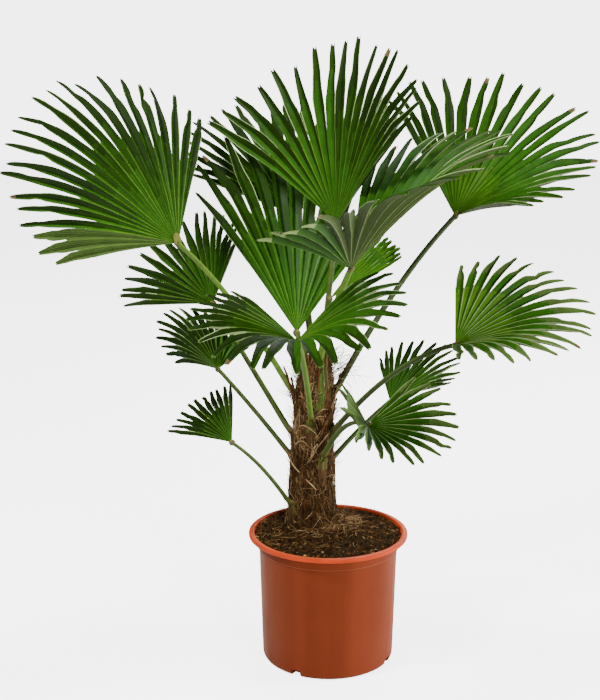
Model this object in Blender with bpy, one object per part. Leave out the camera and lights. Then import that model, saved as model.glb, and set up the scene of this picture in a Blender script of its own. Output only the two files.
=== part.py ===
"""Potted Wagner windmill palm.

Units are metres and +Z is up. The origin is the centre of the pot's flat underside.
The front of the plant looks along -Y.
"""
import bpy
import random
from math import cos, pi, radians, sin
from mathutils import Vector

UP = Vector((0.0, 0.0, 1.0))
CLEAR = 0.0004  # space between one solid and the next

# Pot: a moulded plastic nursery pot with a rolled rim
POT_SIDES = 48
POT_HEIGHT = 0.215
POT_RIM_RADIUS = 0.130
POT_MOUTH_RADIUS = 0.1205
POT_RIM_DROP = 0.0065
POT_COLLAR_RADIUS = 0.1145
POT_COLLAR_DROP = 0.0165
POT_NECK_RADIUS = 0.1125
POT_FOOT_RADIUS = 0.1072
POT_FOOT_ROUND = 0.010
POT_WALL = 0.0024
POT_FLOOR = 0.0035
NOTCH_ANGLES = (-120.0, -30.0, 60.0, 150.0)
NOTCH_WIDTH = 0.014
NOTCH_HEIGHT = 0.0095
NOTCH_DEPTH = 0.017
NOTCH_SHELL = 0.002
NOTCH_LININGS = ((0.1029, 0.0028), (0.1050, 0.0068))  # how far out and from what height

# Soil: nearly level with the rim, banked up to the trunk
SOIL_RIM_HEIGHT = 0.2110
SOIL_RIM_RADIUS = 0.1180
SOIL_BANK_HEIGHT = 0.2165
SOIL_BANK_RADIUS = 0.060
SOIL_BOTTOM = NOTCH_HEIGHT + NOTCH_SHELL + CLEAR

# Trunk: short, leaning a little, wrapped in fibre
TRUNK_FOOT = Vector((-0.0250, 0.0330, SOIL_BANK_HEIGHT + CLEAR))
TRUNK_TOP = Vector((-0.0200, 0.0300, 0.4860))
TRUNK_SIDES = 20
TRUNK_PROFILE = (
    (0.00, 0.0460),
    (0.05, 0.0425),
    (0.11, 0.0385),
    (0.28, 0.0370),
    (0.40, 0.0345),
    (0.54, 0.0325),
    (0.66, 0.0305),
    (0.80, 0.0300),
    (0.90, 0.0285),
    (1.00, 0.0225),
)
TRUNK_LEVELS = 16
TRUNK_SCAR_DEPTH = 0.0010
TRUNK_SCAR_TWIST = 22.0

# Leaf stalks
STALK_WIDTH = 0.0112
STALK_THICK = 0.0100
SMALL_REACH = 0.12  # the stalk of a leaf of this reach
SMALL_SHARE = 0.78  # has this share of the full width,
FULL_REACH = 0.22  # and from this reach on a stalk has all of it
FOOT_FLARE = (1.10, 1.20, 1.06)
CROWN_FLARE = (1.12, 1.12, 1.02)
STALK_SIDES = 8
STALK_STEPS = 7
CROWN_RING = 0.0165

# Fan blades
COLLAR_RADIUS = 0.0070  # the blade starts here, round the knob that ends its stalk
KNOB_RADIUS = COLLAR_RADIUS - CLEAR
THICKNESS_RATIO = 1.0 / 92.0
THICKNESS_LEAST = 0.0018
NOTCH_REACH = 0.47  # leaflets are joined to this share of the leaf's reach
WAIST_REACH = 0.80
WAIST_WIDTH = 0.80
TIP_WIDTH = 0.0055
FALL_ANGLE = radians(130.0)
SHORTEST_LEAFLET = 0.26
LENGTH_SPREAD = 0.025
CURVE_STEPS = 8

# Each leaf: name, the knob where its blade starts, where the blade's middle points
# (heading from +X round to +Y, rise above level, roll about the middle), its reach,
# the angle between leaflets, the part of it that the middle is off by, the first and
# last leaflet counted from the middle,
# cup (how fast the sides turn up), curl (how that changes outwards), sag of the
# leaflets, and fall of their length to the sides
LEAVES = (
    ("01", (-0.233, -0.030, 0.693), 148, 59, 13, 0.318, 5.6, 0.07, -14, 7, -0.14, 0.07, 0.27, 0.94),
    ("02", (0.012, 0.052, 0.713), 107, 69, 48, 0.292, 6.3, -0.32, -6, 11, 0.92, -0.33, 0.16, 0.44),
    ("03", (0.030, -0.091, 0.663), 326, 47, -15, 0.310, 6.8, -0.21, -10, 12, 0.94, -0.41, 0.29, 0.72),
    ("04", (0.211, 0.147, 0.711), -9, 42, -37, 0.266, 7.1, -0.34, -12, 9, 0.67, 0.48, 0.15, 0.33),
    ("05", (-0.050, -0.197, 0.577), 274, 15, -8, 0.225, 7.6, -0.26, -10, 13, 0.87, -0.17, 0.30, 0.85),
    ("06", (-0.051, 0.055, 0.533), 113, 65, -6, 0.360, 6.5, 0.45, -5, 6, 0.53, 0.0, 0.18, 4.0),
    ("07", (-0.051, 0.180, 0.708), 125, 50, 8, 0.240, 7.6, 0.33, -9, 7, 0.44, -0.07, 0.05, 0.52),
    ("08", (-0.192, 0.140, 0.565), 140, 33, 51, 0.173, 8.4, 0.78, -7, 9, 0.85, -0.35, 0.05, 0.67),
    ("09", (-0.181, 0.081, 0.466), 135, 51, -7, 0.132, 9.6, 0.05, -8, 7, 0.21, 0.12, 0.26, 0.57),
    ("10", (-0.154, -0.030, 0.374), 139, 16, 37, 0.121, 6.8, 0.14, -3, 7, 0.39, 0.03, 0.10, 0.54),
    ("11", (0.194, -0.047, 0.537), 337, 23, -21, 0.221, 8.0, -0.18, -10, 9, 1.02, -0.90, 0.30, 0.80),
    ("12", (0.106, 0.122, 0.400), -21, 34, -23, 0.140, 8.3, -0.55, -10, 3, 0.78, 0.21, 0.13, 0.96),
    ("13", (0.055, -0.151, 0.438), 314, -1, -18, 0.147, 9.0, -0.68, -7, 10, 0.80, 0.11, 0.09, 1.10),
    ("14", (0.000, 0.008, 0.598), -6, 42, -70, 0.138, 3.4, 0.0, -3, 3, 0.30, 0.0, 0.05, 3.0),
)

# Each stalk's root: height on the trunk's side, or "top", then its heading,
# and how far the stalk bows upward
ROOTS = {
    "01": (0.440, 188, 0.020),
    "02": ("top", 58, 0.0),
    "03": ("top", -75, 0.012),
    "04": (0.430, 28, 0.022),
    "05": (0.404, -97, 0.018),
    "06": ("top", 165, 0.0),
    "07": ("top", 108, 0.0),
    "08": (0.367, 160, 0.000),
    "09": (0.330, 162, 0.003),
    "10": (0.257, 214, 0.010),
    "11": (0.379, -22, 0.024),
    "12": (0.313, 40, 0.004),
    "13": (0.343, -62, 0.022),
    "14": ("top", -5, 0.0),
}

COLOURS = {
    "pot": ((0.42, 0.105, 0.035), 0.38),
    "soil": ((0.030, 0.017, 0.009), 0.95),
    "fibre": ((0.105, 0.052, 0.022), 0.9),
    "stalk": ((0.075, 0.135, 0.022), 0.45),
    "blade": ((0.028, 0.115, 0.010), 0.42),
}


def clear_scene():
    """Remove whatever the scene holds."""
    for item in list(bpy.data.objects):
        bpy.data.objects.remove(item, do_unlink=True)


def material(name):
    """One plain material for each kind of surface."""
    found = bpy.data.materials.get(name)
    if found:
        return found
    colour, roughness = COLOURS[name]
    made = bpy.data.materials.new(name)
    made.use_nodes = True
    shader = made.node_tree.nodes["Principled BSDF"]
    shader.inputs["Base Color"].default_value = (*colour, 1.0)
    shader.inputs["Roughness"].default_value = roughness
    made.diffuse_color = (*colour, 1.0)
    return made


def new_object(name, points, faces, surface):
    """Make one named mesh object from points and faces."""
    mesh = bpy.data.meshes.new(name)
    mesh.from_pydata([tuple(p) for p in points], [], faces)
    mesh.validate()
    mesh.materials.append(material(surface))
    made = bpy.data.objects.new(name, mesh)
    bpy.context.scene.collection.objects.link(made)
    return made


def triangles(face):
    """Split one face into triangles from its first corner."""
    return [(face[0], face[i], face[i + 1]) for i in range(1, len(face) - 1)]


def rings_to_mesh(rings, close_start=True, close_end=True):
    """Join rings of points, each seen anticlockwise against the way the rings run."""
    count = len(rings[0])
    points = [p for ring in rings for p in ring]
    faces = []
    for level in range(len(rings) - 1):
        base = level * count
        for i in range(count):
            j = (i + 1) % count
            faces += triangles((base + i, base + j, base + count + j, base + count + i))
    if close_start:
        faces += triangles(tuple(reversed(range(count))))
    if close_end:
        last = (len(rings) - 1) * count
        faces += triangles(tuple(range(last, last + count)))
    return points, faces


def circle(centre, radius, sides, height):
    """A level ring of points."""
    ring = []
    for i in range(sides):
        angle = 2.0 * pi * i / sides
        ring.append(Vector((centre[0] + radius * cos(angle), centre[1] + radius * sin(angle), height)))
    return ring


def pot_outline():
    """Radius and height round the pot's section, from the middle below to the middle inside."""
    top = POT_HEIGHT
    collar_low = top - POT_COLLAR_DROP
    rim_low = top - POT_RIM_DROP
    wall = POT_WALL
    foot = POT_FOOT_RADIUS
    soft = POT_FOOT_ROUND
    return (
        (foot - soft, 0.0),
        (foot - 0.30 * soft, 0.30 * soft),
        (foot, soft),
        (POT_NECK_RADIUS, collar_low - 0.003),
        (POT_COLLAR_RADIUS, collar_low),
        (POT_COLLAR_RADIUS + 0.0006, rim_low - 0.0008),
        (POT_RIM_RADIUS - 0.0014, rim_low),
        (POT_RIM_RADIUS, rim_low + 0.0016),
        (POT_RIM_RADIUS, top - 0.0030),
        (POT_RIM_RADIUS - 0.0030, top - 0.0004),
        (POT_MOUTH_RADIUS + 0.0030, top),
        (POT_MOUTH_RADIUS, top - 0.0026),
        (POT_COLLAR_RADIUS - wall + 0.0006, rim_low - 0.0010),
        (POT_COLLAR_RADIUS - wall, collar_low + 0.0020),
        (POT_NECK_RADIUS - wall, collar_low - 0.0030),
        (foot - wall, soft),
        (foot - soft - 0.0006, POT_FLOOR),
    )


def box(name, centre, size, angle):
    """A box turned about the vertical, to cut or to add."""
    half = Vector(size) * 0.5
    points = []
    for z in (-half.z, half.z):
        for x, y in ((-half.x, -half.y), (half.x, -half.y), (half.x, half.y), (-half.x, half.y)):
            across = x * cos(angle) - y * sin(angle)
            along = x * sin(angle) + y * cos(angle)
            points.append(Vector((centre[0] + across, centre[1] + along, centre[2] + z)))
    faces = [(3, 2, 1, 0), (4, 5, 6, 7), (0, 1, 5, 4), (1, 2, 6, 5), (2, 3, 7, 6), (3, 0, 4, 7)]
    return new_object(name, points, faces, "pot")


def boolean(target, other, operation):
    """Apply one Boolean and remove the other object."""
    step = target.modifiers.new("step", "BOOLEAN")
    step.operation = operation
    step.solver = "EXACT"
    step.object = other
    bpy.context.view_layer.update()
    graph = bpy.context.evaluated_depsgraph_get()
    result = bpy.data.meshes.new_from_object(target.evaluated_get(graph))
    target.modifiers.clear()
    old = target.data
    target.data = result
    bpy.data.meshes.remove(old)
    bpy.data.objects.remove(other, do_unlink=True)


def pot_block(pot, operation, reach, heights, width, angle):
    """Add or cut a block that lies along one radius of the pot."""
    middle = 0.5 * (reach[0] + reach[1])
    size = (reach[1] - reach[0], width, heights[1] - heights[0])
    place = (middle * cos(angle), middle * sin(angle), 0.5 * (heights[0] + heights[1]))
    boolean(pot, box("block", place, size, angle), operation)


def make_pot():
    """The pot, turned from its section, with four drainage notches in its foot."""
    rings = [circle((0, 0), radius, POT_SIDES, height) for radius, height in pot_outline()]
    points, faces = rings_to_mesh(rings)
    pot = new_object("pot", points, faces, "pot")
    inner = POT_FOOT_RADIUS - NOTCH_DEPTH
    lined = NOTCH_WIDTH + 2 * NOTCH_SHELL
    for degrees_round in NOTCH_ANGLES:
        angle = radians(degrees_round)
        for outer, low in NOTCH_LININGS:
            heights = (low, NOTCH_HEIGHT + NOTCH_SHELL)
            pot_block(pot, "UNION", (inner - NOTCH_SHELL, outer), heights, lined, angle)
        reach = (inner, POT_FOOT_RADIUS + 0.010)
        pot_block(pot, "DIFFERENCE", reach, (-0.010, NOTCH_HEIGHT), NOTCH_WIDTH, angle)
    return pot


def pot_inside(height):
    """The pot's inner radius at one height above its foot."""
    collar_low = POT_HEIGHT - POT_COLLAR_DROP
    low = (POT_FOOT_RADIUS - POT_WALL, POT_FOOT_ROUND)
    high = (POT_NECK_RADIUS - POT_WALL, collar_low - 0.003)
    if height > collar_low:
        return POT_NECK_RADIUS - POT_WALL + 0.0035
    share = (height - low[1]) / (high[1] - low[1])
    return low[0] + share * (high[0] - low[0])


def make_soil():
    """The fill of potting soil, from above the notches to the banked top."""
    angles = [2.0 * pi * i / POT_SIDES for i in range(POT_SIDES)]
    collar_low = POT_HEIGHT - POT_COLLAR_DROP
    rings = []
    for height in (SOIL_BOTTOM, collar_low - 0.003):
        radius = pot_inside(height) - CLEAR - 0.0002
        rings.append([Vector((radius * cos(a), radius * sin(a), height)) for a in angles])
    edge = POT_COLLAR_RADIUS - POT_WALL - CLEAR - 0.0004
    rings.append([Vector((edge * cos(a), edge * sin(a), collar_low + 0.0026)) for a in angles])
    lip_low = POT_HEIGHT - POT_RIM_DROP
    rings.append([Vector(((edge + 0.0005) * cos(a), (edge + 0.0005) * sin(a), lip_low - 0.0004)) for a in angles])
    flush = SOIL_RIM_HEIGHT + 0.0006
    rings.append([Vector((SOIL_RIM_RADIUS * cos(a), SOIL_RIM_RADIUS * sin(a), flush)) for a in angles])
    draw = random.Random(11)
    foot = TRUNK_FOOT
    for share in (0.10, 0.38, 0.68, 1.0):
        ring = []
        for a in angles:
            rim = Vector((SOIL_RIM_RADIUS * cos(a), SOIL_RIM_RADIUS * sin(a), 0.0))
            bank = Vector((foot.x + SOIL_BANK_RADIUS * cos(a), foot.y + SOIL_BANK_RADIUS * sin(a), 0.0))
            place = rim.lerp(bank, share)
            rise = share * share * (3.0 - 2.0 * share)
            lump = 0.0 if share == 1.0 else draw.uniform(-0.0014, 0.0014)
            place.z = SOIL_RIM_HEIGHT + (SOIL_BANK_HEIGHT - SOIL_RIM_HEIGHT) * rise + lump
            ring.append(place)
        rings.append(ring)
    points, faces = rings_to_mesh(rings)
    return new_object("soil", points, faces, "soil")


def trunk_axis(share):
    """A point on the trunk's leaning axis."""
    lean = Vector((-0.0030, 0.0, 0.0)) * sin(pi * share)
    return TRUNK_FOOT.lerp(TRUNK_TOP, share) + lean


def trunk_radius(share):
    """The trunk's radius at a share of its height."""
    for (low, first), (high, second) in zip(TRUNK_PROFILE, TRUNK_PROFILE[1:]):
        if share <= high:
            return first + (second - first) * (share - low) / (high - low)
    return TRUNK_PROFILE[-1][1]


def trunk_reach(share, angle):
    """The trunk's surface, dented a little between the old stalk bases."""
    fade = min(1.0, 8.0 * share, 8.0 * (1.0 - share))
    dent = 0.5 * TRUNK_SCAR_DEPTH * fade * (1.0 - sin(3.0 * angle + TRUNK_SCAR_TWIST * share))
    return trunk_radius(share) - dent


def trunk_share(height):
    """The share of the trunk's height at one level."""
    return (height - TRUNK_FOOT.z) / (TRUNK_TOP.z - TRUNK_FOOT.z)


def make_trunk():
    """The fibre-wrapped trunk with shallow rings of old stalk bases."""
    rings = []
    for level in range(TRUNK_LEVELS + 1):
        share = level / TRUNK_LEVELS
        centre = trunk_axis(share)
        ring = []
        for i in range(TRUNK_SIDES):
            angle = 2.0 * pi * i / TRUNK_SIDES
            reach = trunk_reach(share, angle)
            ring.append(Vector((centre.x + reach * cos(angle), centre.y + reach * sin(angle), centre.z)))
        rings.append(ring)
    points, faces = rings_to_mesh(rings)
    return new_object("trunk", points, faces, "fibre")


def leaf_frame(heading, rise, roll):
    """The blade's middle direction, its right side and its upper face."""
    h, e, r = radians(heading), radians(rise), radians(roll)
    middle = Vector((cos(h) * cos(e), sin(h) * cos(e), sin(e)))
    side = Vector((sin(h), -cos(h), 0.0))
    face = side.cross(middle)
    return middle, side * cos(r) + face * sin(r), face * cos(r) - side * sin(r)


def leaf_rays(heading, rise, roll, cup, curl, angles):
    """Direction, tangent and face at each angle, walking outward from the middle.

    The blade is part of a cone: its rays turn towards the upper face by cup and curl,
    so no leaflet is stretched.
    """
    middle, side, face = leaf_frame(heading, rise, roll)
    found = {}
    step = radians(2.0)
    for way in (1.0, -1.0):
        ray, tangent, normal = middle.copy(), side * way, face.copy()
        walked = 0.0
        wanted = sorted((a for a in angles if (a >= 0.0) == (way > 0.0)), key=abs)
        for angle in wanted:
            while walked < abs(angle) - 1e-9:
                part = min(step, abs(angle) - walked)
                bend = (cup + curl * (walked + 0.5 * part)) * part
                tangent, normal = (
                    tangent * cos(bend) + normal * sin(bend),
                    normal * cos(bend) - tangent * sin(bend),
                )
                ray, tangent = ray * cos(part) + tangent * sin(part), tangent * cos(part) - ray * sin(part)
                walked += part
            found[angle] = (ray.copy(), tangent * way, normal.copy())
    return found


def leaflet_curve(knob, ray, reach, sag, distances):
    """Points and directions along one leaflet, which sags towards the ground."""
    found = []
    place = knob.copy()
    gone = 0.0
    for distance in distances:
        part = (distance - gone) / CURVE_STEPS
        for _ in range(CURVE_STEPS):
            share = (gone + 0.5 * part) / reach
            way = (ray - UP * (2.0 * sag * share * share)).normalized()
            place = place + way * part
            gone += part
        found.append((place.copy(), way))
    return found


def blade_plan(leaf):
    """Everything that both faces of one blade are made from."""
    name, knob, heading, rise, roll, reach, spacing, shift, first, last, cup, curl, sag, fall = leaf
    knob = Vector(knob)
    gap = radians(spacing)
    edges = [gap * (i + shift - 0.5) for i in range(first, last + 2)]
    mids = [gap * (i + shift) for i in range(first, last + 1)]
    rays = leaf_rays(heading, rise, roll, cup, curl, edges + mids)
    draw = random.Random(int(name) * 7 + 1)
    notch = []
    for angle in edges:
        ray, tangent, _ = rays[angle]
        joined = NOTCH_REACH * reach * (1.0 - 0.55 * fall * (angle / FALL_ANGLE) ** 2)
        places = leaflet_curve(knob, ray, reach, sag, (COLLAR_RADIUS, joined))
        notch.append([(p, tangent.cross(way).normalized()) for p, way in places])
    strips = []
    for angle in mids:
        ray, tangent, _ = rays[angle]
        share = max(1.0 - fall * (angle / FALL_ANGLE) ** 2, SHORTEST_LEAFLET)
        length = reach * share * (1.0 + draw.uniform(-LENGTH_SPREAD, LENGTH_SPREAD))
        joined = NOTCH_REACH * reach * (1.0 - 0.55 * fall * (angle / FALL_ANGLE) ** 2)
        waist = joined + (length - joined) * (WAIST_REACH - NOTCH_REACH) / (1.0 - NOTCH_REACH)
        places = leaflet_curve(knob, ray, reach, sag, (waist, length))
        width = 2.0 * joined * sin(0.5 * gap) * WAIST_WIDTH
        halves = (0.5 * width, 0.5 * TIP_WIDTH)
        strip = []
        for (place, way), half in zip(places, halves):
            normal = tangent.cross(way).normalized()
            across = way.cross(normal).normalized()
            if across.dot(tangent) < 0.0:
                across = -across
            strip.append((place - across * half, place + across * half, normal))
        strips.append(strip)
    return notch, strips


def make_blade(leaf):
    """One fan blade as a thin solid, cut between its leaflets down to the joined part."""
    reach = leaf[5]
    half = 0.5 * max(THICKNESS_LEAST, reach * THICKNESS_RATIO)
    notch, strips = blade_plan(leaf)
    points, faces = [], []

    def pair(place, normal):
        points.append(place + normal * half)
        points.append(place - normal * half)
        return len(points) - 2

    inner = [pair(*spot[0]) for spot in notch]
    outer = [pair(*spot[1]) for spot in notch]
    outline = [inner[0]]
    for i, strip in enumerate(strips):
        waist, tip = strip
        left, right = pair(waist[0], waist[2]), pair(waist[1], waist[2])
        tip_left, tip_right = pair(tip[0], tip[2]), pair(tip[1], tip[2])
        rows = ((inner[i], inner[i + 1]), (outer[i], outer[i + 1]), (left, right), (tip_left, tip_right))
        for (a, b), (c, d) in zip(rows, rows[1:]):
            faces += [(a, b, d), (a, d, c)]
            faces += [(a + 1, d + 1, b + 1), (a + 1, c + 1, d + 1)]
        outline += [outer[i], left, tip_left, tip_right, right]
    outline += [outer[-1], inner[-1]]
    rim = outline + list(reversed(inner[1:-1]))
    for a, b in zip(rim, rim[1:] + rim[:1]):
        faces += [(a, b, b + 1), (a, b + 1, a + 1)]
    return new_object("blade_" + leaf[0], points, faces, "blade")


def stalk_path(leaf):
    """The centre line of one stalk, from the trunk to its knob."""
    knob = Vector(leaf[1])
    level, heading, bow = ROOTS[leaf[0]]
    out = Vector((cos(radians(heading)), sin(radians(heading)), 0.0))
    if level == "top":
        root = TRUNK_TOP + out * CROWN_RING + UP * CLEAR
        lift = root + UP * 0.010 + out * 0.001
        start = UP
    else:
        share = trunk_share(level)
        root = trunk_axis(share) + out * (trunk_reach(share, radians(heading)) + CLEAR + 0.0001)
        lift = root + out * 0.008 + UP * 0.005
        start = out
    spots = [root]
    for i in range(STALK_STEPS):
        share = i / STALK_STEPS
        spots.append(lift.lerp(knob, share) + UP * (4.0 * bow * share * (1.0 - share)))
    return spots, start, knob


def ring_across(centre, way, width, thick):
    """An oval ring across a direction, flat side up."""
    side = way.cross(UP)
    if side.length < 0.05:
        side = Vector((1.0, 0.0, 0.0))
    side.normalize()
    top = side.cross(way).normalized()
    ring = []
    for i in range(STALK_SIDES):
        angle = 2.0 * pi * (i + 0.5) / STALK_SIDES
        ring.append(centre + side * (0.5 * width * cos(angle)) + top * (0.5 * thick * sin(angle)))
    return ring


def make_stalk(leaf):
    """One stalk: an oval rod that ends in a rounded knob inside the blade's collar."""
    spots, start, knob = stalk_path(leaf)
    grown = min(1.0, (leaf[5] - SMALL_REACH) / (FULL_REACH - SMALL_REACH))
    small = SMALL_SHARE + (1.0 - SMALL_SHARE) * grown
    flare = CROWN_FLARE if ROOTS[leaf[0]][0] == "top" else FOOT_FLARE
    rings = []
    for i, spot in enumerate(spots):
        if i == 0:
            way = start
        elif i + 1 < len(spots):
            way = (spots[i + 1] - spots[i - 1]).normalized()
        else:
            way = (knob - spots[i - 1]).normalized()
        broad = small * (flare[i] if i < 3 else 1.0 - 0.14 * i / len(spots))
        rings.append(ring_across(spot, way, STALK_WIDTH * broad, STALK_THICK * broad))
    way = (knob - spots[-1]).normalized()
    for along, share in ((-0.90, 0.40), (-0.55, 0.80), (0.0, 0.98), (0.55, 0.80), (0.90, 0.40)):
        width = 2.0 * KNOB_RADIUS * share
        rings.append(ring_across(knob + way * (KNOB_RADIUS * along), way, width, width))
    points, faces = rings_to_mesh([list(reversed(ring)) for ring in rings])
    return new_object("stalk_" + leaf[0], points, faces, "stalk")


def main():
    """Build the whole plant in its pot."""
    clear_scene()
    parts = [make_pot(), make_soil(), make_trunk()]
    for leaf in LEAVES:
        parts.append(make_stalk(leaf))
        parts.append(make_blade(leaf))
    plant = bpy.data.objects.new("potted_palm", None)
    bpy.context.scene.collection.objects.link(plant)
    for piece in parts:
        piece.parent = plant


main()
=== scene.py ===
# %% [markdown]
# # A windmill palm in its nursery pot
#
# The real plant is a young fan palm about a metre tall, sold in a round plastic pot. The frame
# brings the pot, the soil, the trunk, fourteen stalks and fourteen fan blades as plain solids in
# their right places. This lesson dresses each of them. The solids can't be moved or reshaped, so
# every finer piece is grown by the same rule as the solid it stands for, from the same sizes.

# %% Load the frame
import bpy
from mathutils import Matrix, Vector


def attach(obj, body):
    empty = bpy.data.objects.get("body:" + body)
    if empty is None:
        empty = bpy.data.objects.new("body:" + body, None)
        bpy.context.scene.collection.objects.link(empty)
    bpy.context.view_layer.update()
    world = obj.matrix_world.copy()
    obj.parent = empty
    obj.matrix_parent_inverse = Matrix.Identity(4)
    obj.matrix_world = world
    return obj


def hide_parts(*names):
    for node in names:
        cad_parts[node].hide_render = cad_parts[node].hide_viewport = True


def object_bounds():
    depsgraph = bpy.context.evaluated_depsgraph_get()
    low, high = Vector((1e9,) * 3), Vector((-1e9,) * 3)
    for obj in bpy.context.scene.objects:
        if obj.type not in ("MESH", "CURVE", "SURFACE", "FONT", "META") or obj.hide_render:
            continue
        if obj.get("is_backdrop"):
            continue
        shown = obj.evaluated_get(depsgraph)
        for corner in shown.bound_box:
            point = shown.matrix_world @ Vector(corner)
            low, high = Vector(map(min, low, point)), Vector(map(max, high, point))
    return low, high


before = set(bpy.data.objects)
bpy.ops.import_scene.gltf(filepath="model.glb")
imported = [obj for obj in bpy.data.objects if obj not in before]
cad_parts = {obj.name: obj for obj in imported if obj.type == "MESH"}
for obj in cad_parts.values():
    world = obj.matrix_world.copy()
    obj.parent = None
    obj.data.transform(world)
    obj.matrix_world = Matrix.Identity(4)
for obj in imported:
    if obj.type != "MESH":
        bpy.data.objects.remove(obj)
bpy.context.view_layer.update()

# %% Tools for the whole lesson
import bpy
import random
from math import cos, exp, pi, radians, sin
from mathutils import Vector, noise

UP = Vector((0.0, 0.0, 1.0))
CLEAR = 0.0004


def blend_table(table, share):
    """The value at one share of a table of (share, value) pairs."""
    if share <= table[0][0]:
        return table[0][1]
    for (low, first), (high, second) in zip(table, table[1:]):
        if share <= high:
            return first + (second - first) * (share - low) / (high - low)
    return table[-1][1]


def bumpy(place, size, seed=0.0):
    """Smooth noise between -1 and 1 whose bumps are about one size across."""
    return noise.noise(place / size + Vector((seed, 2.7 * seed, -1.3 * seed)))


print("tools ready")

# %% [markdown]
# ## Camera and light
#
# A lens and a place were worked out from the pot's rim and foot in the photograph, so the render
# has the same perspective. A product photograph is lit by large soft lamps over a white floor.
# Area lamps give that: the wider the lamp, the softer the shadow's edge.

# %% Place the camera
lens = bpy.data.cameras.new("photo_camera")
lens.lens = 70.0
lens.sensor_width = 36.0
camera = bpy.data.objects.new("photo_camera", lens)
camera.location = (-0.046, -2.1, 1.008)
camera.rotation_euler = (radians(76.85), 0.0, 0.0)
bpy.context.scene.collection.objects.link(camera)
bpy.context.scene.camera = camera
print("camera", tuple(round(v, 3) for v in camera.location))


# %% Light the studio
def soft_lamp(name, place, target, size, watts):
    """A square area lamp turned towards a target."""
    light = bpy.data.lights.new(name, "AREA")
    light.size = size
    light.energy = watts
    lamp = bpy.data.objects.new(name, light)
    lamp.location = place
    lamp.rotation_euler = (Vector(target) - Vector(place)).to_track_quat("-Z", "Y").to_euler()
    bpy.context.scene.collection.objects.link(lamp)
    return lamp


middle_of_plant = (0.0, 0.0, 0.6)
soft_lamp("key_lamp", (-2.0, -1.3, 3.0), middle_of_plant, 0.6, 160.0)
soft_lamp("low_lamp", (2.9, 0.1, 0.8), (0.0, 0.0, 0.2), 0.7, 150.0)
soft_lamp("front_lamp", (1.5, -2.9, 1.3), middle_of_plant, 0.9, 100.0)
soft_lamp("top_lamp", (0.3, 0.3, 3.4), middle_of_plant, 0.8, 65.0)
soft_lamp("back_lamp", (0.8, 2.8, 1.9), middle_of_plant, 1.4, 50.0)

AMBIENT = 0.07  # the room's own light on the plant
BACKDROP = 5.0  # how bright the empty room looks


def lit_room():
    """A white room: bright to look at, softer as a light on the plant."""
    world = bpy.data.worlds.new("white_studio")
    world.use_nodes = True
    tree = world.node_tree
    seen = tree.nodes.new("ShaderNodeLightPath")
    level = tree.nodes.new("ShaderNodeMapRange")
    level.inputs["To Min"].default_value = AMBIENT
    level.inputs["To Max"].default_value = BACKDROP
    tree.links.new(seen.outputs["Is Camera Ray"], level.inputs["Value"])
    room = tree.nodes["Background"]
    room.inputs["Color"].default_value = (1.0, 1.0, 1.0, 1.0)
    tree.links.new(level.outputs["Result"], room.inputs["Strength"])
    return world


bpy.context.scene.world = lit_room()

# %% [markdown]
# ## Node groups that several finishes share
#
# Living and moulded surfaces are never one flat colour. Three effects come back in most finishes
# here: soft patches of tone, fine veins that run along a leaf or a stalk, and matted strands of
# fibre. Each is a group of shader nodes, built once, and every finish sets its own values. The
# shader itself stays in the material, so that the exporter finds it.

# %% Helpers for shader nodes
def add_node(tree, kind, links=None, values=None, **settings):
    """Add one node, set its values and link its inputs."""
    made = tree.nodes.new(kind)
    for name, value in settings.items():
        setattr(made, name, value)
    for socket, value in (values or {}).items():
        made.inputs[socket].default_value = value
    for socket, source in (links or {}).items():
        tree.links.new(source, made.inputs[socket])
    return made


def new_group(name, inputs, outputs):
    """An empty shader group with named sockets, and its two end nodes."""
    tree = bpy.data.node_groups.new(name, "ShaderNodeTree")
    for label, kind, value in inputs:
        socket = tree.interface.new_socket(name=label, in_out="INPUT", socket_type=kind)
        socket.default_value = value
    for label, kind in outputs:
        tree.interface.new_socket(name=label, in_out="OUTPUT", socket_type=kind)
    return tree, tree.nodes.new("NodeGroupInput"), tree.nodes.new("NodeGroupOutput")


def rgba(colour):
    """A colour with full cover."""
    return (colour[0], colour[1], colour[2], 1.0)


FLOAT = "NodeSocketFloat"
COLOUR = "NodeSocketColor"
print("node helpers ready")

# %% Soft patches of tone
patches, given, result = new_group(
    "tone_patches",
    (("Colour", COLOUR, (0.5, 0.5, 0.5, 1.0)), ("Patch Scale", FLOAT, 40.0), ("Amount", FLOAT, 0.2)),
    (("Colour", COLOUR), ("Mask", FLOAT)),
)
spot = add_node(patches, "ShaderNodeTexCoord")
cloud = add_node(
    patches, "ShaderNodeTexNoise",
    {"Vector": spot.outputs["Object"], "Scale": given.outputs["Patch Scale"]},
    {"Detail": 4.0, "Roughness": 0.62},
)
spread = add_node(
    patches, "ShaderNodeMapRange", {"Value": cloud.outputs["Fac"]},
    {"From Min": 0.3, "From Max": 0.7, "To Min": -1.0, "To Max": 1.0},
)
swing = add_node(
    patches, "ShaderNodeMath", {0: spread.outputs["Result"], 1: given.outputs["Amount"]}, {2: 1.0},
    operation="MULTIPLY_ADD",
)
tone = add_node(
    patches, "ShaderNodeHueSaturation", {"Color": given.outputs["Colour"], "Value": swing.outputs[0]},
)
patches.links.new(tone.outputs["Color"], result.inputs["Colour"])
patches.links.new(cloud.outputs["Fac"], result.inputs["Mask"])
print("group", patches.name, len(patches.nodes), "nodes")

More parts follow.
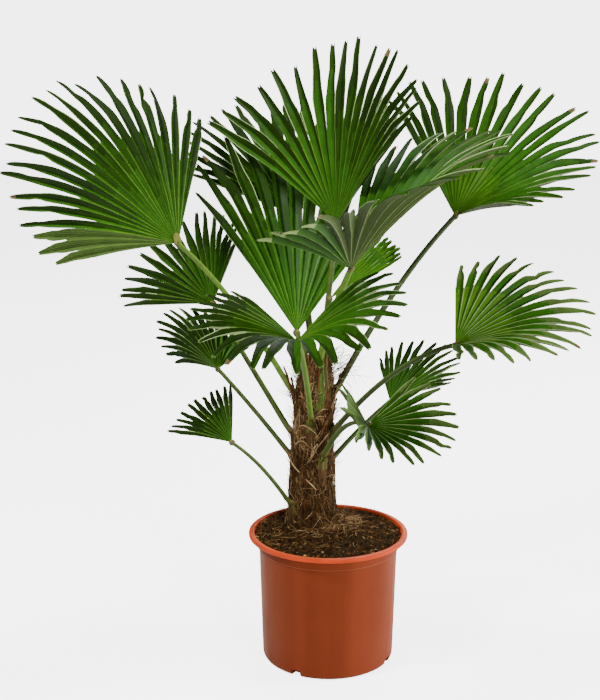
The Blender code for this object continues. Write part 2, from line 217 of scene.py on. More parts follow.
# %% Veins along a leaf or stalk
veins, given, result = new_group(
    "fine_veins",
    (("Colour", COLOUR, (0.1, 0.3, 0.05, 1.0)), ("Vein Colour", COLOUR, (0.3, 0.5, 0.2, 1.0)),
     ("Count", FLOAT, 12.0), ("Strength", FLOAT, 0.3)),
    (("Colour", COLOUR), ("Height", FLOAT)),
)
spot = add_node(veins, "ShaderNodeTexCoord")
parts = add_node(veins, "ShaderNodeSeparateXYZ", {0: spot.outputs["UV"]})
turns = add_node(
    veins, "ShaderNodeMath", {0: parts.outputs["X"], 1: given.outputs["Count"]}, operation="MULTIPLY",
)
phase = add_node(veins, "ShaderNodeMath", {0: turns.outputs[0]}, {1: 2.0 * pi}, operation="MULTIPLY")
wave = add_node(veins, "ShaderNodeMath", {0: phase.outputs[0]}, operation="COSINE")
ridge = add_node(
    veins, "ShaderNodeMapRange", {"Value": wave.outputs[0]},
    {"From Min": 0.2, "From Max": 1.0, "To Min": 0.0, "To Max": 1.0}, interpolation_type="SMOOTHSTEP",
)
strength = add_node(
    veins, "ShaderNodeMath", {0: ridge.outputs["Result"], 1: given.outputs["Strength"]},
    operation="MULTIPLY",
)
mixed = add_node(
    veins, "ShaderNodeMix",
    {0: strength.outputs[0], 6: given.outputs["Colour"], 7: given.outputs["Vein Colour"]},
    data_type="RGBA",
)
veins.links.new(mixed.outputs[2], result.inputs["Colour"])
veins.links.new(ridge.outputs["Result"], result.inputs["Height"])
print("group", veins.name, len(veins.nodes), "nodes")

# %% Matted strands
strands, given, result = new_group(
    "matted_strands",
    (("Dark", COLOUR, (0.03, 0.015, 0.008, 1.0)), ("Light", COLOUR, (0.3, 0.18, 0.09, 1.0)),
     ("Strand Scale", FLOAT, 500.0)),
    (("Colour", COLOUR), ("Height", FLOAT)),
)
spot = add_node(strands, "ShaderNodeTexCoord")
stretch = add_node(
    strands, "ShaderNodeMapping", {"Vector": spot.outputs["Object"]}, {"Scale": (1.0, 1.0, 0.10)},
)
lean = add_node(
    strands, "ShaderNodeMapping", {"Vector": spot.outputs["Object"]},
    {"Scale": (1.0, 1.0, 0.18), "Rotation": (0.5, 0.6, 0.0)},
)
upright = add_node(
    strands, "ShaderNodeTexNoise",
    {"Vector": stretch.outputs["Vector"], "Scale": given.outputs["Strand Scale"]}, {"Detail": 3.0},
)
crossing = add_node(
    strands, "ShaderNodeTexNoise",
    {"Vector": lean.outputs["Vector"], "Scale": given.outputs["Strand Scale"]}, {"Detail": 2.0},
)
taller = add_node(
    strands, "ShaderNodeMath", {0: upright.outputs["Fac"], 1: crossing.outputs["Fac"]},
    operation="MAXIMUM",
)
lit = add_node(
    strands, "ShaderNodeMapRange", {"Value": taller.outputs[0]}, {"From Min": 0.45, "From Max": 0.78},
)
mixed = add_node(
    strands, "ShaderNodeMix",
    {0: lit.outputs["Result"], 6: given.outputs["Dark"], 7: given.outputs["Light"]},
    data_type="RGBA",
)
strands.links.new(mixed.outputs[2], result.inputs["Colour"])
strands.links.new(lit.outputs["Result"], result.inputs["Height"])
print("group", strands.name, len(strands.nodes), "nodes")

# %% [markdown]
# ## Finishes of the leaves and stalks
#
# A fan leaf is glossy and deep green above, dull grey-green below, and yellow-green near the hub.
# Its colours have places, so each is a plain base colour given to its own faces. Some of these
# are painted light and shade: a deeper half on every leaflet, glints on some ridges, and whole
# leaves made lighter or darker for how they are lit. Patches of tone and fine veins then break it
# up. A bump node turns the veins into a slight relief.

# %% Leaf finishes
def use_group(tree, group, values=None, links=None):
    """Place a shared group in a material and set its inputs."""
    placed = tree.nodes.new("ShaderNodeGroup")
    placed.node_tree = group
    for socket, value in (values or {}).items():
        placed.inputs[socket].default_value = value
    for socket, source in (links or {}).items():
        tree.links.new(source, placed.inputs[socket])
    return placed


def new_finish(name, roughness, shine=0.5):
    """A material with its shader, ready for colour and bump."""
    made = bpy.data.materials.new(name)
    made.use_nodes = True
    shader = made.node_tree.nodes["Principled BSDF"]
    shader.inputs["Roughness"].default_value = roughness
    shader.inputs["Specular IOR Level"].default_value = shine
    return made, made.node_tree, shader


def add_bump(tree, shader, height, strength, distance):
    """Relief from a height that changes over the surface."""
    bump = add_node(tree, "ShaderNodeBump", {"Height": height}, {"Strength": strength, "Distance": distance})
    tree.links.new(bump.outputs["Normal"], shader.inputs["Normal"])


def leaf_finish(name, colour, vein_colour, roughness, vein_strength=0.2, patch=0.16, shine=0.2):
    """A leaf surface: plain colour, patches of tone, fine veins and their relief."""
    made, tree, shader = new_finish(name, roughness, shine)
    toned = use_group(tree, patches, {"Colour": rgba(colour), "Patch Scale": 45.0, "Amount": patch})
    veined = use_group(
        tree, veins, {"Vein Colour": rgba(vein_colour), "Count": 12.0, "Strength": vein_strength},
        {"Colour": toned.outputs["Colour"]},
    )
    tree.links.new(veined.outputs["Colour"], shader.inputs["Base Color"])
    gloss = add_node(
        tree, "ShaderNodeMapRange", {"Value": toned.outputs["Mask"]},
        {"From Min": 0.3, "From Max": 0.7, "To Min": roughness - 0.06, "To Max": roughness + 0.08},
    )
    tree.links.new(gloss.outputs["Result"], shader.inputs["Roughness"])
    add_bump(tree, shader, veined.outputs["Height"], 0.35, 0.0002)
    return made


PALE_VEIN = (0.050, 0.150, 0.008)
LEAF_FINISHES = [
    leaf_finish("leaf_heart", (0.056, 0.160, 0.004), (0.12, 0.24, 0.012), 0.48, shine=0.08),
    leaf_finish("leaf_inner", (0.025, 0.108, 0.003), PALE_VEIN, 0.46, shine=0.07),
    leaf_finish("leaf_bright", (0.020, 0.086, 0.003), PALE_VEIN, 0.45, shine=0.07),
    leaf_finish("leaf_green", (0.018, 0.066, 0.003), PALE_VEIN, 0.44, shine=0.07),
    leaf_finish("leaf_deep", (0.013, 0.040, 0.002), (0.030, 0.090, 0.005), 0.42, shine=0.05),
    leaf_finish("leaf_dark", (0.009, 0.023, 0.002), (0.025, 0.060, 0.006), 0.42, shine=0.05),
    leaf_finish("leaf_ridge", (0.078, 0.162, 0.013), (0.12, 0.22, 0.03), 0.42, 0.1, shine=0.12),
    # A painted highlight: pale glints along the leaflets' ridges.
    leaf_finish("leaf_painted_glint", (0.290, 0.400, 0.150), (0.36, 0.44, 0.22), 0.42, 0.1, shine=0.20),
    leaf_finish("leaf_rib", (0.026, 0.080, 0.003), (0.05, 0.13, 0.008), 0.40, 0.1, shine=0.12),
    leaf_finish("leaf_under", (0.056, 0.096, 0.014), (0.13, 0.17, 0.045), 0.60, 0.4),
    # Painted shade on the underside: the deeper half of each leaflet, and undersides that sit in shade.
    leaf_finish("leaf_under_painted_shade", (0.030, 0.054, 0.007), (0.09, 0.13, 0.025), 0.60, 0.4),
    leaf_finish("leaf_under_rib", (0.145, 0.205, 0.055), (0.18, 0.23, 0.08), 0.55, 0.1),
    leaf_finish("leaf_dry", (0.110, 0.080, 0.024), (0.18, 0.13, 0.05), 0.70, 0.3, 0.35),
    leaf_finish("leaf_olive", (0.034, 0.072, 0.009), (0.13, 0.18, 0.050), 0.55, 0.5, 0.2, 0.10),
    leaf_finish("leaf_soft", (0.064, 0.122, 0.020), (0.13, 0.19, 0.055), 0.55, 0.3, 0.2, 0.10),
]
(HEART, INNER, BRIGHT, GREEN, DEEP, DARK, RIDGE, PAINTED_GLINT, RIB,
 UNDER, UNDER_SHADE, UNDER_RIB, DRY, OLIVE, SOFT) = range(len(LEAF_FINISHES))
print("leaf finishes", len(LEAF_FINISHES))

# %% [markdown]
# ## How pieces are put together
#
# Every piece here is a mesh made from a list of points and a list of faces. Leaves need two
# skins, an upper and a lower one, joined by a wall along their outline. A small class keeps that
# in order: each place on the leaf gives one point above and one below.

# %% Make a piece from points and faces
def add_piece(name, points, faces, finishes, chosen=None, uvs=None, crease=None):
    """One mesh object; chosen gives each face its finish and uvs each point its place."""
    mesh = bpy.data.meshes.new(name)
    mesh.from_pydata(points, [], faces)
    for finish in finishes:
        mesh.materials.append(finish)
    if chosen:
        mesh.polygons.foreach_set("material_index", chosen)
    mesh.polygons.foreach_set("use_smooth", [True] * len(faces))
    if uvs:
        layer = mesh.uv_layers.new(name="along")
        flat = []
        for loop in mesh.loops:
            flat += uvs[loop.vertex_index]
        layer.data.foreach_set("uv", flat)
    if crease:
        mesh.set_sharp_from_angle(angle=radians(crease))
    mesh.update()
    piece = bpy.data.objects.new(name, mesh)
    bpy.context.scene.collection.objects.link(piece)
    return piece


def settle(piece, slot, *nodes):
    """Let a piece ride on the body in place of its solids. The slot is not used."""
    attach(piece, "root")
    if nodes:
        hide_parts(*nodes)
    return len(piece.data.polygons)


class ThinSheet:
    """A thin closed sheet, gathered place by place."""

    def __init__(self, half):
        self.half = half
        self.points, self.faces, self.chosen, self.uvs = [], [], [], []

    def spot(self, place, normal, across, along):
        """Two points, above and below one place. Gives the number of the upper one."""
        self.points += [place + normal * self.half, place - normal * self.half]
        self.uvs += [(across, along), (across, along)]
        return len(self.points) - 2

    def patch(self, a, b, c, d, upper, lower):
        """Four places in order round a patch, anticlockwise from above."""
        self.faces += [(a, b, c, d), (a + 1, d + 1, c + 1, b + 1)]
        self.chosen += [upper, lower]

    def wall(self, a, b, finish):
        """Close the sheet from one place to the next; outside lies to the left."""
        self.faces.append((a, b, b + 1, a + 1))
        self.chosen.append(finish)


print("piece tools ready")

# %% [markdown]
# ## The fan blades
#
# Each leaf of this palm is one stiff sheet, pleated like a paper fan. It is joined from the hub
# outwards, and then splits into leaflets with narrow, two-pointed tips. A flat cut-out would lose
# the light and dark sides of every pleat, so each leaflet is folded here as a shallow V, with its
# rib at the bottom and its ridges at the top. The leaves' table is the one that the solids use.

# %% The leaves' table
# Each leaf: name, hub, heading, rise and roll of its middle in degrees, reach, angle between
# leaflets, offset of the middle, first and last leaflet, cup, curl, sag, and fall of length
LEAVES = (
    ("01", (-0.233, -0.030, 0.693), 148, 59, 13, 0.318, 5.6, 0.07, -14, 7, -0.14, 0.07, 0.27, 0.94),
    ("02", (0.012, 0.052, 0.713), 107, 69, 48, 0.292, 6.3, -0.32, -6, 11, 0.92, -0.33, 0.16, 0.44),
    ("03", (0.030, -0.091, 0.663), 326, 47, -15, 0.310, 6.8, -0.21, -10, 12, 0.94, -0.41, 0.29, 0.72),
    ("04", (0.211, 0.147, 0.711), -9, 42, -37, 0.266, 7.1, -0.34, -12, 9, 0.67, 0.48, 0.15, 0.33),
    ("05", (-0.050, -0.197, 0.577), 274, 15, -8, 0.225, 7.6, -0.26, -10, 13, 0.87, -0.17, 0.30, 0.85),
    ("06", (-0.051, 0.055, 0.533), 113, 65, -6, 0.360, 6.5, 0.45, -5, 6, 0.53, 0.0, 0.18, 4.0),
    ("07", (-0.051, 0.180, 0.708), 125, 50, 8, 0.240, 7.6, 0.33, -9, 7, 0.44, -0.07, 0.05, 0.52),
    ("08", (-0.192, 0.140, 0.565), 140, 33, 51, 0.173, 8.4, 0.78, -7, 9, 0.85, -0.35, 0.05, 0.67),
    ("09", (-0.181, 0.081, 0.466), 135, 51, -7, 0.132, 9.6, 0.05, -8, 7, 0.21, 0.12, 0.26, 0.57),
    ("10", (-0.154, -0.030, 0.374), 139, 16, 37, 0.121, 6.8, 0.14, -3, 7, 0.39, 0.03, 0.10, 0.54),
    ("11", (0.194, -0.047, 0.537), 337, 23, -21, 0.221, 8.0, -0.18, -10, 9, 1.02, -0.90, 0.30, 0.80),
    ("12", (0.106, 0.122, 0.400), -21, 34, -23, 0.140, 8.3, -0.55, -10, 3, 0.78, 0.21, 0.13, 0.96),
    ("13", (0.055, -0.151, 0.438), 314, -1, -18, 0.147, 9.0, -0.68, -7, 10, 0.80, 0.11, 0.09, 1.10),
    ("14", (0.000, 0.008, 0.598), -6, 42, -70, 0.138, 3.4, 0.0, -3, 3, 0.30, 0.0, 0.05, 3.0),
)
TURNED_UP = {"13": (60.0, 3.0)}  # from which angle the last leaflets turn up, and how far
HUB_RADIUS = 0.0048
JOINED_SHARE = 0.47
FALL_ANGLE = radians(130.0)
SHORTEST_LEAFLET = 0.26
LENGTH_SPREAD = 0.025
SPLIT_SPREAD = (0.90, 1.28)
FUSED_SHARE = 0.80
print("leaves", len(LEAVES), "leaflets", sum(leaf[9] - leaf[8] + 1 for leaf in LEAVES))


# %% Directions of the leaflets
def leaf_frame(heading, rise, roll):
    """The blade's middle direction, its right side and its upper face."""
    h, e, r = radians(heading), radians(rise), radians(roll)
    middle = Vector((cos(h) * cos(e), sin(h) * cos(e), sin(e)))
    side = Vector((sin(h), -cos(h), 0.0))
    face = side.cross(middle)
    return middle, side * cos(r) + face * sin(r), face * cos(r) - side * sin(r)


def leaf_rays(heading, rise, roll, cup, curl, angles, turned_up=None):
    """Direction and tangent at each angle, walking outward from the middle."""
    middle, side, face = leaf_frame(heading, rise, roll)
    found = {}
    step = radians(2.0)
    for way in (1.0, -1.0):
        ray, tangent, normal = middle.copy(), side * way, face.copy()
        walked = 0.0
        for angle in sorted((a for a in angles if (a >= 0.0) == (way > 0.0)), key=abs):
            while walked < abs(angle) - 1e-9:
                part = min(step, abs(angle) - walked)
                bend = (cup + curl * (walked + 0.5 * part)) * part
                turned = tangent * cos(bend) + normal * sin(bend)
                normal = normal * cos(bend) - tangent * sin(bend)
                tangent = turned
                ray, tangent = ray * cos(part) + tangent * sin(part), tangent * cos(part) - ray * sin(part)
                walked += part
            found[angle] = (ray.copy(), tangent * way)
    if turned_up:
        start, slope = turned_up
        for angle, (ray, tangent) in found.items():
            lift = slope * max(0.0, angle - radians(start))
            ray = (ray + (UP * 1.0 + Vector((-0.4, 0.3, 0.0))) * lift).normalized()
            found[angle] = (ray, (tangent - ray * tangent.dot(ray)).normalized())
    return found


def leaflet_curve(hub, ray, reach, sag, distances):
    """Points and directions along one leaflet, which sags towards the ground."""
    found = []
    place = hub.copy()
    gone = 0.0
    for distance in distances:
        part = (distance - gone) / 4
        for _ in range(4):
            share = (gone + 0.5 * part) / reach
            way = (ray - UP * (2.0 * sag * share * share)).normalized()
            place = place + way * part
            gone += part
        found.append((place.copy(), way))
    return found


middle, side, face = leaf_frame(*LEAVES[0][2:5])
print("leaf 01 faces", tuple(round(v, 2) for v in face))

# %% Sizes of a leaflet
JOINED_ROWS = 12
FREE_ROWS = (0.06, 0.14, 0.22, 0.30, 0.38, 0.45, 0.51, 0.57, 0.64, 0.73, 0.82, 0.90, 0.96, 1.0)
SHOULDERED = (  # a leaflet's width as a share of the room between its neighbours
    (0.00, 1.00), (0.08, 0.96), (0.36, 0.92), (0.46, 0.83), (0.54, 0.66),
    (0.66, 0.54), (0.80, 0.42), (0.93, 0.31), (1.00, 0.20),
)
TAPERED = (
    (0.00, 1.00), (0.10, 0.94), (0.20, 0.88), (0.40, 0.79), (0.50, 0.69), (0.60, 0.58),
    (0.70, 0.49), (0.80, 0.40), (0.90, 0.30), (0.96, 0.20), (1.00, 0.10),
)
SHOULDERS = {
    "01": 0.05, "02": 1.0, "03": 0.9, "04": 0.5, "05": 0.9, "06": 0.8, "07": 0.6,
    "08": 0.95, "09": 1.0, "10": 1.0, "11": 0.0, "12": 0.9, "13": 0.5, "14": 1.0,
}
BROAD = {"08": 1.12, "09": 1.12, "10": 1.25, "12": 1.1, "14": 2.0}  # leaflets that overlap their neighbours
FOLD = ((0.00, 0.85), (0.30, 0.85), (0.70, 0.70), (1.00, 0.55))
COLUMNS = 7  # spans across a leaflet: ridge, two of lamina, rib, two of lamina, ridge
DRY_LEAVES = {"03": 0.25, "11": 0.30, "05": 0.15}
TIP_NOTCH = 0.0040


def across_leaflet(left, right, normal, deep, lift):
    """Eight places across a folded leaflet, from ridge to rib to ridge."""
    wide = right - left
    half = 0.5 * wide.length
    side = wide / (2.0 * half)
    centre = 0.5 * (left + right) - normal * deep
    rib = side * min(0.00045, 0.14 * half)
    edge = min(0.00095, 0.16 * half) / half
    low_left, low_right = centre - rib, centre + rib
    return (
        left,
        left.lerp(low_left, edge),
        left.lerp(low_left, 0.52) + normal * lift,
        low_left,
        low_right,
        right.lerp(low_right, 0.52) + normal * lift,
        right.lerp(low_right, edge),
        right,
    )


print("rows per leaflet", JOINED_ROWS + len(FREE_ROWS))


# %% Choose a finish for each face
def upper_rule(drift_and_painted_light, painted_half_shades, palette, margin, glint_from, tip):
    """A rule that gives the finish above by the place across and the share of the leaf's reach."""
    def finish_of(column, share):
        if share > tip:
            return SOFT
        # Some ridges keep their lighter ridge tone, then take a painted glint further out.
        if column in (0, 6) and share < margin:
            return RIDGE if share < glint_from else PAINTED_GLINT
        if column == 3 and share < 0.6:
            return RIB if share > 0.08 else HEART
        # The base tone moves with the share of the reach, the leaf's painted light and the half's painted shade.
        return palette[round(blend_table(TONES, share + drift_and_painted_light + painted_half_shades[column]))]
    return finish_of


def fused_rule(column, share):
    """The finish above of leaflets that are joined almost to their ends."""
    return RIDGE if column in (0, 6) else OLIVE


def below_tones(name, angle):
    """The finishes below, of the left half, rib and right half, and where the pale tip starts."""
    if name in PAINTED_LIGHT_BELOW:
        return UNDER_RIB, UNDER_RIB, UNDER, 2.0
    if angle > GREEN_BELOW.get(name, pi):
        # Nearly as green as above, with a painted shade on the right half.
        return GREEN, UNDER_RIB, DEEP, 0.80
    if angle > PAINTED_SHADE_BELOW.get(name, pi):
        return UNDER_SHADE, UNDER_RIB, UNDER_SHADE, 2.0
    return UNDER, UNDER_RIB, UNDER_SHADE, 2.0


def lower_finish(column, share, below, dry):
    """The finish below: dull, with a pale rib and a painted shade on one half."""
    if dry:
        return DRY
    return UNDER_RIB if share > below[3] else below[(column >= 3) + (column > 3)]


TONES = ((0.04, 0), (0.16, 1), (0.42, 2), (0.60, 3), (0.80, 4), (1.05, 5))
PALETTE = (HEART, INNER, BRIGHT, GREEN, DEEP, DARK)
# Leaves 11 and 13 take lighter finishes, painted light on leaves that lie in the shade of others.
PALETTES = {
    "02": (INNER, INNER, BRIGHT, GREEN, DEEP, DARK),
    "11": (HEART, HEART, INNER, SOFT, SOFT, SOFT),
    "13": (INNER, INNER, BRIGHT, SOFT, SOFT, SOFT),
    "14": (HEART, HEART, INNER, INNER, BRIGHT, OLIVE),
}
# Painted light: leaf 05's underside takes paler finishes where it lies in shade.
PAINTED_LIGHT_BELOW = ("05",)  # leaves with a paler underside
# From these angles on, the whole underside takes the painted shade.
PAINTED_SHADE_BELOW = {"03": 0.40, "13": -pi}  # from which angle on a leaf's underside is deeper
GREEN_BELOW = {"03": 0.95}  # from which angle on it is nearly as green as above
PALE_TIPS = {"05": 0.970, "11": 0.970, "14": 0.900}
# These leaves carry a painted glint along every ridge, nearly from the hub to the tip.
PAINTED_GLINT_EDGES = ("11", "13")  # leaves whose every ridge is pale to the tip
# Painted shade: each leaflet's right half takes a deeper tone, as if that side of its fold faced away from the light.
PAINTED_HALF_SHADE = (0.0, -0.06, -0.12, 0.0, 0.40, 0.50, 0.42)  # each leaflet's right half is deeper
# Painted light and shade by leaf: each leaf's tones move lighter or darker for how brightly it is lit.
LEAF_PAINTED_LIGHT = {
    "01": -0.08, "02": 0.04, "03": -0.08, "04": -0.12, "05": 0.0, "06": -0.02, "07": -0.08,
    "08": 0.20, "09": 0.18, "10": 0.44, "11": -0.10, "12": 0.20, "13": -0.05, "14": -0.25,
}
# How strong each leaf's painted shade on its halves is, and from which angle it moves to the left halves.
PAINTED_SHADE_STRENGTH = {"01": 1.15, "02": 1.2, "06": 0.5, "10": 0.6, "11": 0.55, "13": 0.7}  # how much deeper the right halves are
PAINTED_SHADE_MIRRORED = {"02": 0.12}  # from which angle on the left halves are the deeper ones
FUSED = {"01": (0, 3), "13": (15, 18), "14": (0, 7)}  # leaflets that stay joined almost to their ends
print("tones", [LEAF_FINISHES[PALETTE[round(blend_table(TONES, 0.1 * i))]].name for i in range(11)])


# %% Grow one leaflet past the joined part
def free_leaflet(sheet, foot, spots, rooms, tangent, look, along):
    """Grow a leaflet from its row of foot places. Spots are the places along its rib."""
    finish_above, below, dry, shoulder, skew, spread_factor, draw = look
    slant = draw.gauss(0.0, 0.024)
    kink = draw.gauss(0.0, 0.07)
    drop = draw.uniform(-0.05, 0.16)
    knee = draw.uniform(0.40, 0.56)
    twist = draw.gauss(0.0, 0.16)
    pinch = draw.uniform(0.55, 0.84)
    bend = draw.gauss(0.0, 0.0026) * (1.0 - 0.6 * shoulder)
    broad = draw.uniform(0.94, 1.03)
    rows = [foot]
    length = (spots[-1][0] - spots[0][0]).length
    for t, room, (place, way) in zip(FREE_ROWS, rooms, spots):
        normal = tangent.cross(way).normalized()
        side = way.cross(normal)
        if side.dot(tangent) < 0.0:
            side = -side
        turn = twist * t * t
        side, normal = side * cos(turn) + normal * sin(turn), normal * cos(turn) - side * sin(turn)
        past = max(0.0, t - knee)
        pinched = exp(-(((t - pinch) / 0.08) ** 2))
        place = place + side * (length * (slant * t + kink * past) + bend * pinched)
        place = place - normal * (drop * length * past)
        even = t + 0.5 * (0.48 - knee) * (1.0 - t)
        half = blend_table(TAPERED, even) * (1.0 - shoulder) + blend_table(SHOULDERED, even) * shoulder
        half *= room * broad * (spread_factor * t + 1.0 - t) * (1.0 - 0.28 * (1.0 - shoulder) * pinched)
        deep = half * blend_table(FOLD, t)
        left = place - side * half + normal * (0.5 * deep)
        right = place + side * half + normal * (0.5 * deep)
        shift = way * (skew * (1.0 - t))
        places = list(across_leaflet(left - shift, right + shift, normal, deep, 0.10 * half))
        if t == FREE_ROWS[-1]:
            back = (0.30, 0.10, 0.0, 1.0, 1.0, 0.0, 0.25, 0.50)
            places = [p - way * (TIP_NOTCH * share) for p, share in zip(places, back)]
        rows.append([sheet.spot(p, normal, i / 7.0, along + t) for i, p in enumerate(places)])
    for number, (low, high) in enumerate(zip(rows, rows[1:])):
        share = JOINED_SHARE + (1.0 - JOINED_SHARE) * (FREE_ROWS[number] - 0.03)
        brown = dry > 0.0 and FREE_ROWS[number] > 1.0 - dry
        tones = [DRY if brown else finish_above(c, share) for c in range(COLUMNS)]
        for c in range(COLUMNS):
            sheet.patch(low[c], low[c + 1], high[c + 1], high[c], tones[c], lower_finish(c, share, below, brown))
        sheet.wall(low[0], high[0], tones[0])
        sheet.wall(high[-1], low[-1], tones[-1])
    for c in range(COLUMNS):
        sheet.wall(rows[-1][c], rows[-1][c + 1], DRY if dry else UNDER)


print("leaflet rule ready")


# %% Grow one fan
def joined_distance(leaf, angle):
    """How far from the hub two neighbouring leaflets stay joined."""
    return JOINED_SHARE * leaf[5] * (1.0 - 0.55 * leaf[13] * (angle / FALL_ANGLE) ** 2)


def joined_line(leaf, rays, angle, joined, raised, gap):
    """Places and normals along one ridge or rib of the joined part."""
    ray, tangent = rays[angle]
    distances = [HUB_RADIUS + (joined - HUB_RADIUS) * (r / JOINED_ROWS) for r in range(JOINED_ROWS + 1)]
    found = []
    for distance, (place, way) in zip(distances, leaflet_curve(Vector(leaf[1]), ray, leaf[5], leaf[12], distances)):
        normal = tangent.cross(way).normalized()
        half = distance * sin(0.5 * gap)
        found.append((place + normal * (raised * half * FOLD[0][1]), normal, distance, half))
    return found


def grow_fan(leaf):
    """The whole pleated blade of one leaf."""
    name, hub, heading, rise, roll, reach, spacing, shift, first, last, cup, curl, sag, fall = leaf
    gap = radians(spacing)
    edges = [gap * (i + shift - 0.5) for i in range(first, last + 2)]
    mids = [gap * (i + shift) for i in range(first, last + 1)]
    rays = leaf_rays(heading, rise, roll, cup, curl, edges + mids, TURNED_UP.get(name))
    draw = random.Random(int(name) * 7 + 1)
    lengths = []
    for angle in mids:
        share = max(1.0 - fall * (angle / FALL_ANGLE) ** 2, SHORTEST_LEAFLET)
        lengths.append(reach * share * (1.0 + draw.uniform(-LENGTH_SPREAD, LENGTH_SPREAD)))
    sheet = ThinSheet(0.00034)
    split = random.Random(int(name) * 19 + 7)
    depths = [joined_distance(leaf, angle) * split.uniform(*SPLIT_SPREAD) for angle in edges]
    fused = range(*FUSED.get(name, (0, 0)))
    for i in fused[1:]:
        depths[i] = FUSED_SHARE * min(lengths[i - 1], lengths[i])
    ridges = []
    for angle, depth in zip(edges, depths):
        line = joined_line(leaf, rays, angle, depth, 0.5, gap)
        ridges.append([(p, sheet.spot(p, n, 0.0, d / reach)) for p, n, d, _ in line])
    look = random.Random(int(name) * 31 + 5)
    palette, tip = PALETTES.get(name, PALETTE), PALE_TIPS.get(name, 2.0)
    for i, angle in enumerate(mids):
        ray, tangent = rays[angle]
        # A small random drift of tone, plus the leaf's painted light and shade.
        drift_and_painted_light = look.uniform(-0.09, 0.09) + LEAF_PAINTED_LIGHT.get(name, 0.0)
        # How far along its ridges a leaflet is marked, first in ridge tone, then with a painted glint.
        margin = look.choice((0.0, 0.5, 0.7, 1.1, 1.1))
        margin, glint_from = (1.1, 0.12) if name in PAINTED_GLINT_EDGES else (margin, 0.58)
        # The half that takes the painted shade, and how strong it is.
        shade_mirrored = angle > PAINTED_SHADE_MIRRORED.get(name, pi)
        shade_strength = PAINTED_SHADE_STRENGTH.get(name, 1.0) * (0.5 if shade_mirrored else 1.0)
        painted_half_shades = [shade_strength * tone for tone in (reversed(PAINTED_HALF_SHADE) if shade_mirrored else PAINTED_HALF_SHADE)]
        dull = i in fused and name != "14"
        finish_above = fused_rule if dull else upper_rule(drift_and_painted_light, painted_half_shades, palette, margin, glint_from, tip)
        below = below_tones(name, angle)
        joined = 0.5 * (depths[i] + depths[i + 1])
        rib = joined_line(leaf, rays, angle, joined, -0.5, gap)
        rows = []
        for r in range(JOINED_ROWS + 1):
            (left, first_spot), (right, last_spot) = ridges[i][r], ridges[i + 1][r]
            _, normal, distance, half = rib[r]
            deep = half * FOLD[0][1]
            places = across_leaflet(left, right, normal, deep, 0.10 * half)
            inner = [sheet.spot(p, normal, (c + 1) / 7.0, distance / reach) for c, p in enumerate(places[1:-1])]
            rows.append([first_spot] + inner + [last_spot])
        for r in range(JOINED_ROWS):
            share = 0.5 * (rib[r][2] + rib[r + 1][2]) / reach
            for c in range(COLUMNS):
                sheet.patch(
                    rows[r][c], rows[r][c + 1], rows[r + 1][c + 1], rows[r + 1][c],
                    finish_above(c, share), lower_finish(c, share, below, False),
                )
        for c in range(COLUMNS):
            sheet.wall(rows[0][c + 1], rows[0][c], HEART)
        far = [joined + (lengths[i] - joined) * t for t in FREE_ROWS]
        spots = leaflet_curve(Vector(hub), ray, reach, sag, far)
        rooms = [distance * sin(0.5 * gap) for distance in far]
        dry = look.uniform(0.02, 0.09) if look.random() < DRY_LEAVES.get(name, 0.04) else 0.0
        skew = 0.5 * (depths[i + 1] - depths[i])
        shoulder = 1.0 if i in fused else SHOULDERS[name]
        style = (finish_above, below, dry, shoulder, skew, BROAD.get(name, 1.0), look)
        free_leaflet(sheet, rows[-1], spots, rooms, tangent, style, joined / reach)
    for r in range(JOINED_ROWS):
        sheet.wall(ridges[0][r][1], ridges[0][r + 1][1], RIDGE)
        sheet.wall(ridges[-1][r + 1][1], ridges[-1][r][1], RIDGE)
    return add_piece("fan_" + name, sheet.points, sheet.faces, LEAF_FINISHES, sheet.chosen, sheet.uvs, 22)


for leaf in LEAVES:
    fan = grow_fan(leaf)
    count = settle(fan, "leaf_blade", "blade_" + leaf[0])
    print(fan.name, count, "faces")

# %% [markdown]
# ## The leaf stalks
#
# A stalk is stiff and green, flat or slightly hollow above and round below, with tiny blunt teeth
# along both margins. It ends in a knob under the blade, with a small yellow-brown tongue on top
# where the pleats meet. A swept tube could do for the rod, but the hollow, the teeth and the swelling
# at the base follow the length, so the rings are laid out one by one along the solid's own path.

# %% Stalk finishes
def stalk_finish(name, colour, foot_colour, streak, roughness):
    """Green rind with fine lengthwise streaks, turning brownish at the foot."""
    made, tree, shader = new_finish(name, roughness, 0.14)
    spot = add_node(tree, "ShaderNodeTexCoord")
    parts = add_node(tree, "ShaderNodeSeparateXYZ", {0: spot.outputs["UV"]})
    foot = add_node(
        tree, "ShaderNodeMapRange", {"Value": parts.outputs["Y"]},
        {"From Min": 0.02, "From Max": 0.22, "To Min": 1.0, "To Max": 0.0}, interpolation_type="SMOOTHSTEP",
    )
    blended = add_node(
        tree, "ShaderNodeMix", {0: foot.outputs["Result"]}, {6: rgba(colour), 7: rgba(foot_colour)},
        data_type="RGBA",
    )
    toned = use_group(tree, patches, {"Patch Scale": 60.0, "Amount": 0.22}, {"Colour": blended.outputs[2]})
    streaked = use_group(
        tree, veins, {"Vein Colour": rgba(streak), "Count": 26.0, "Strength": 0.22},
        {"Colour": toned.outputs["Colour"]},
    )
    tree.links.new(streaked.outputs["Colour"], shader.inputs["Base Color"])
    add_bump(tree, shader, streaked.outputs["Height"], 0.3, 0.0002)
    return made


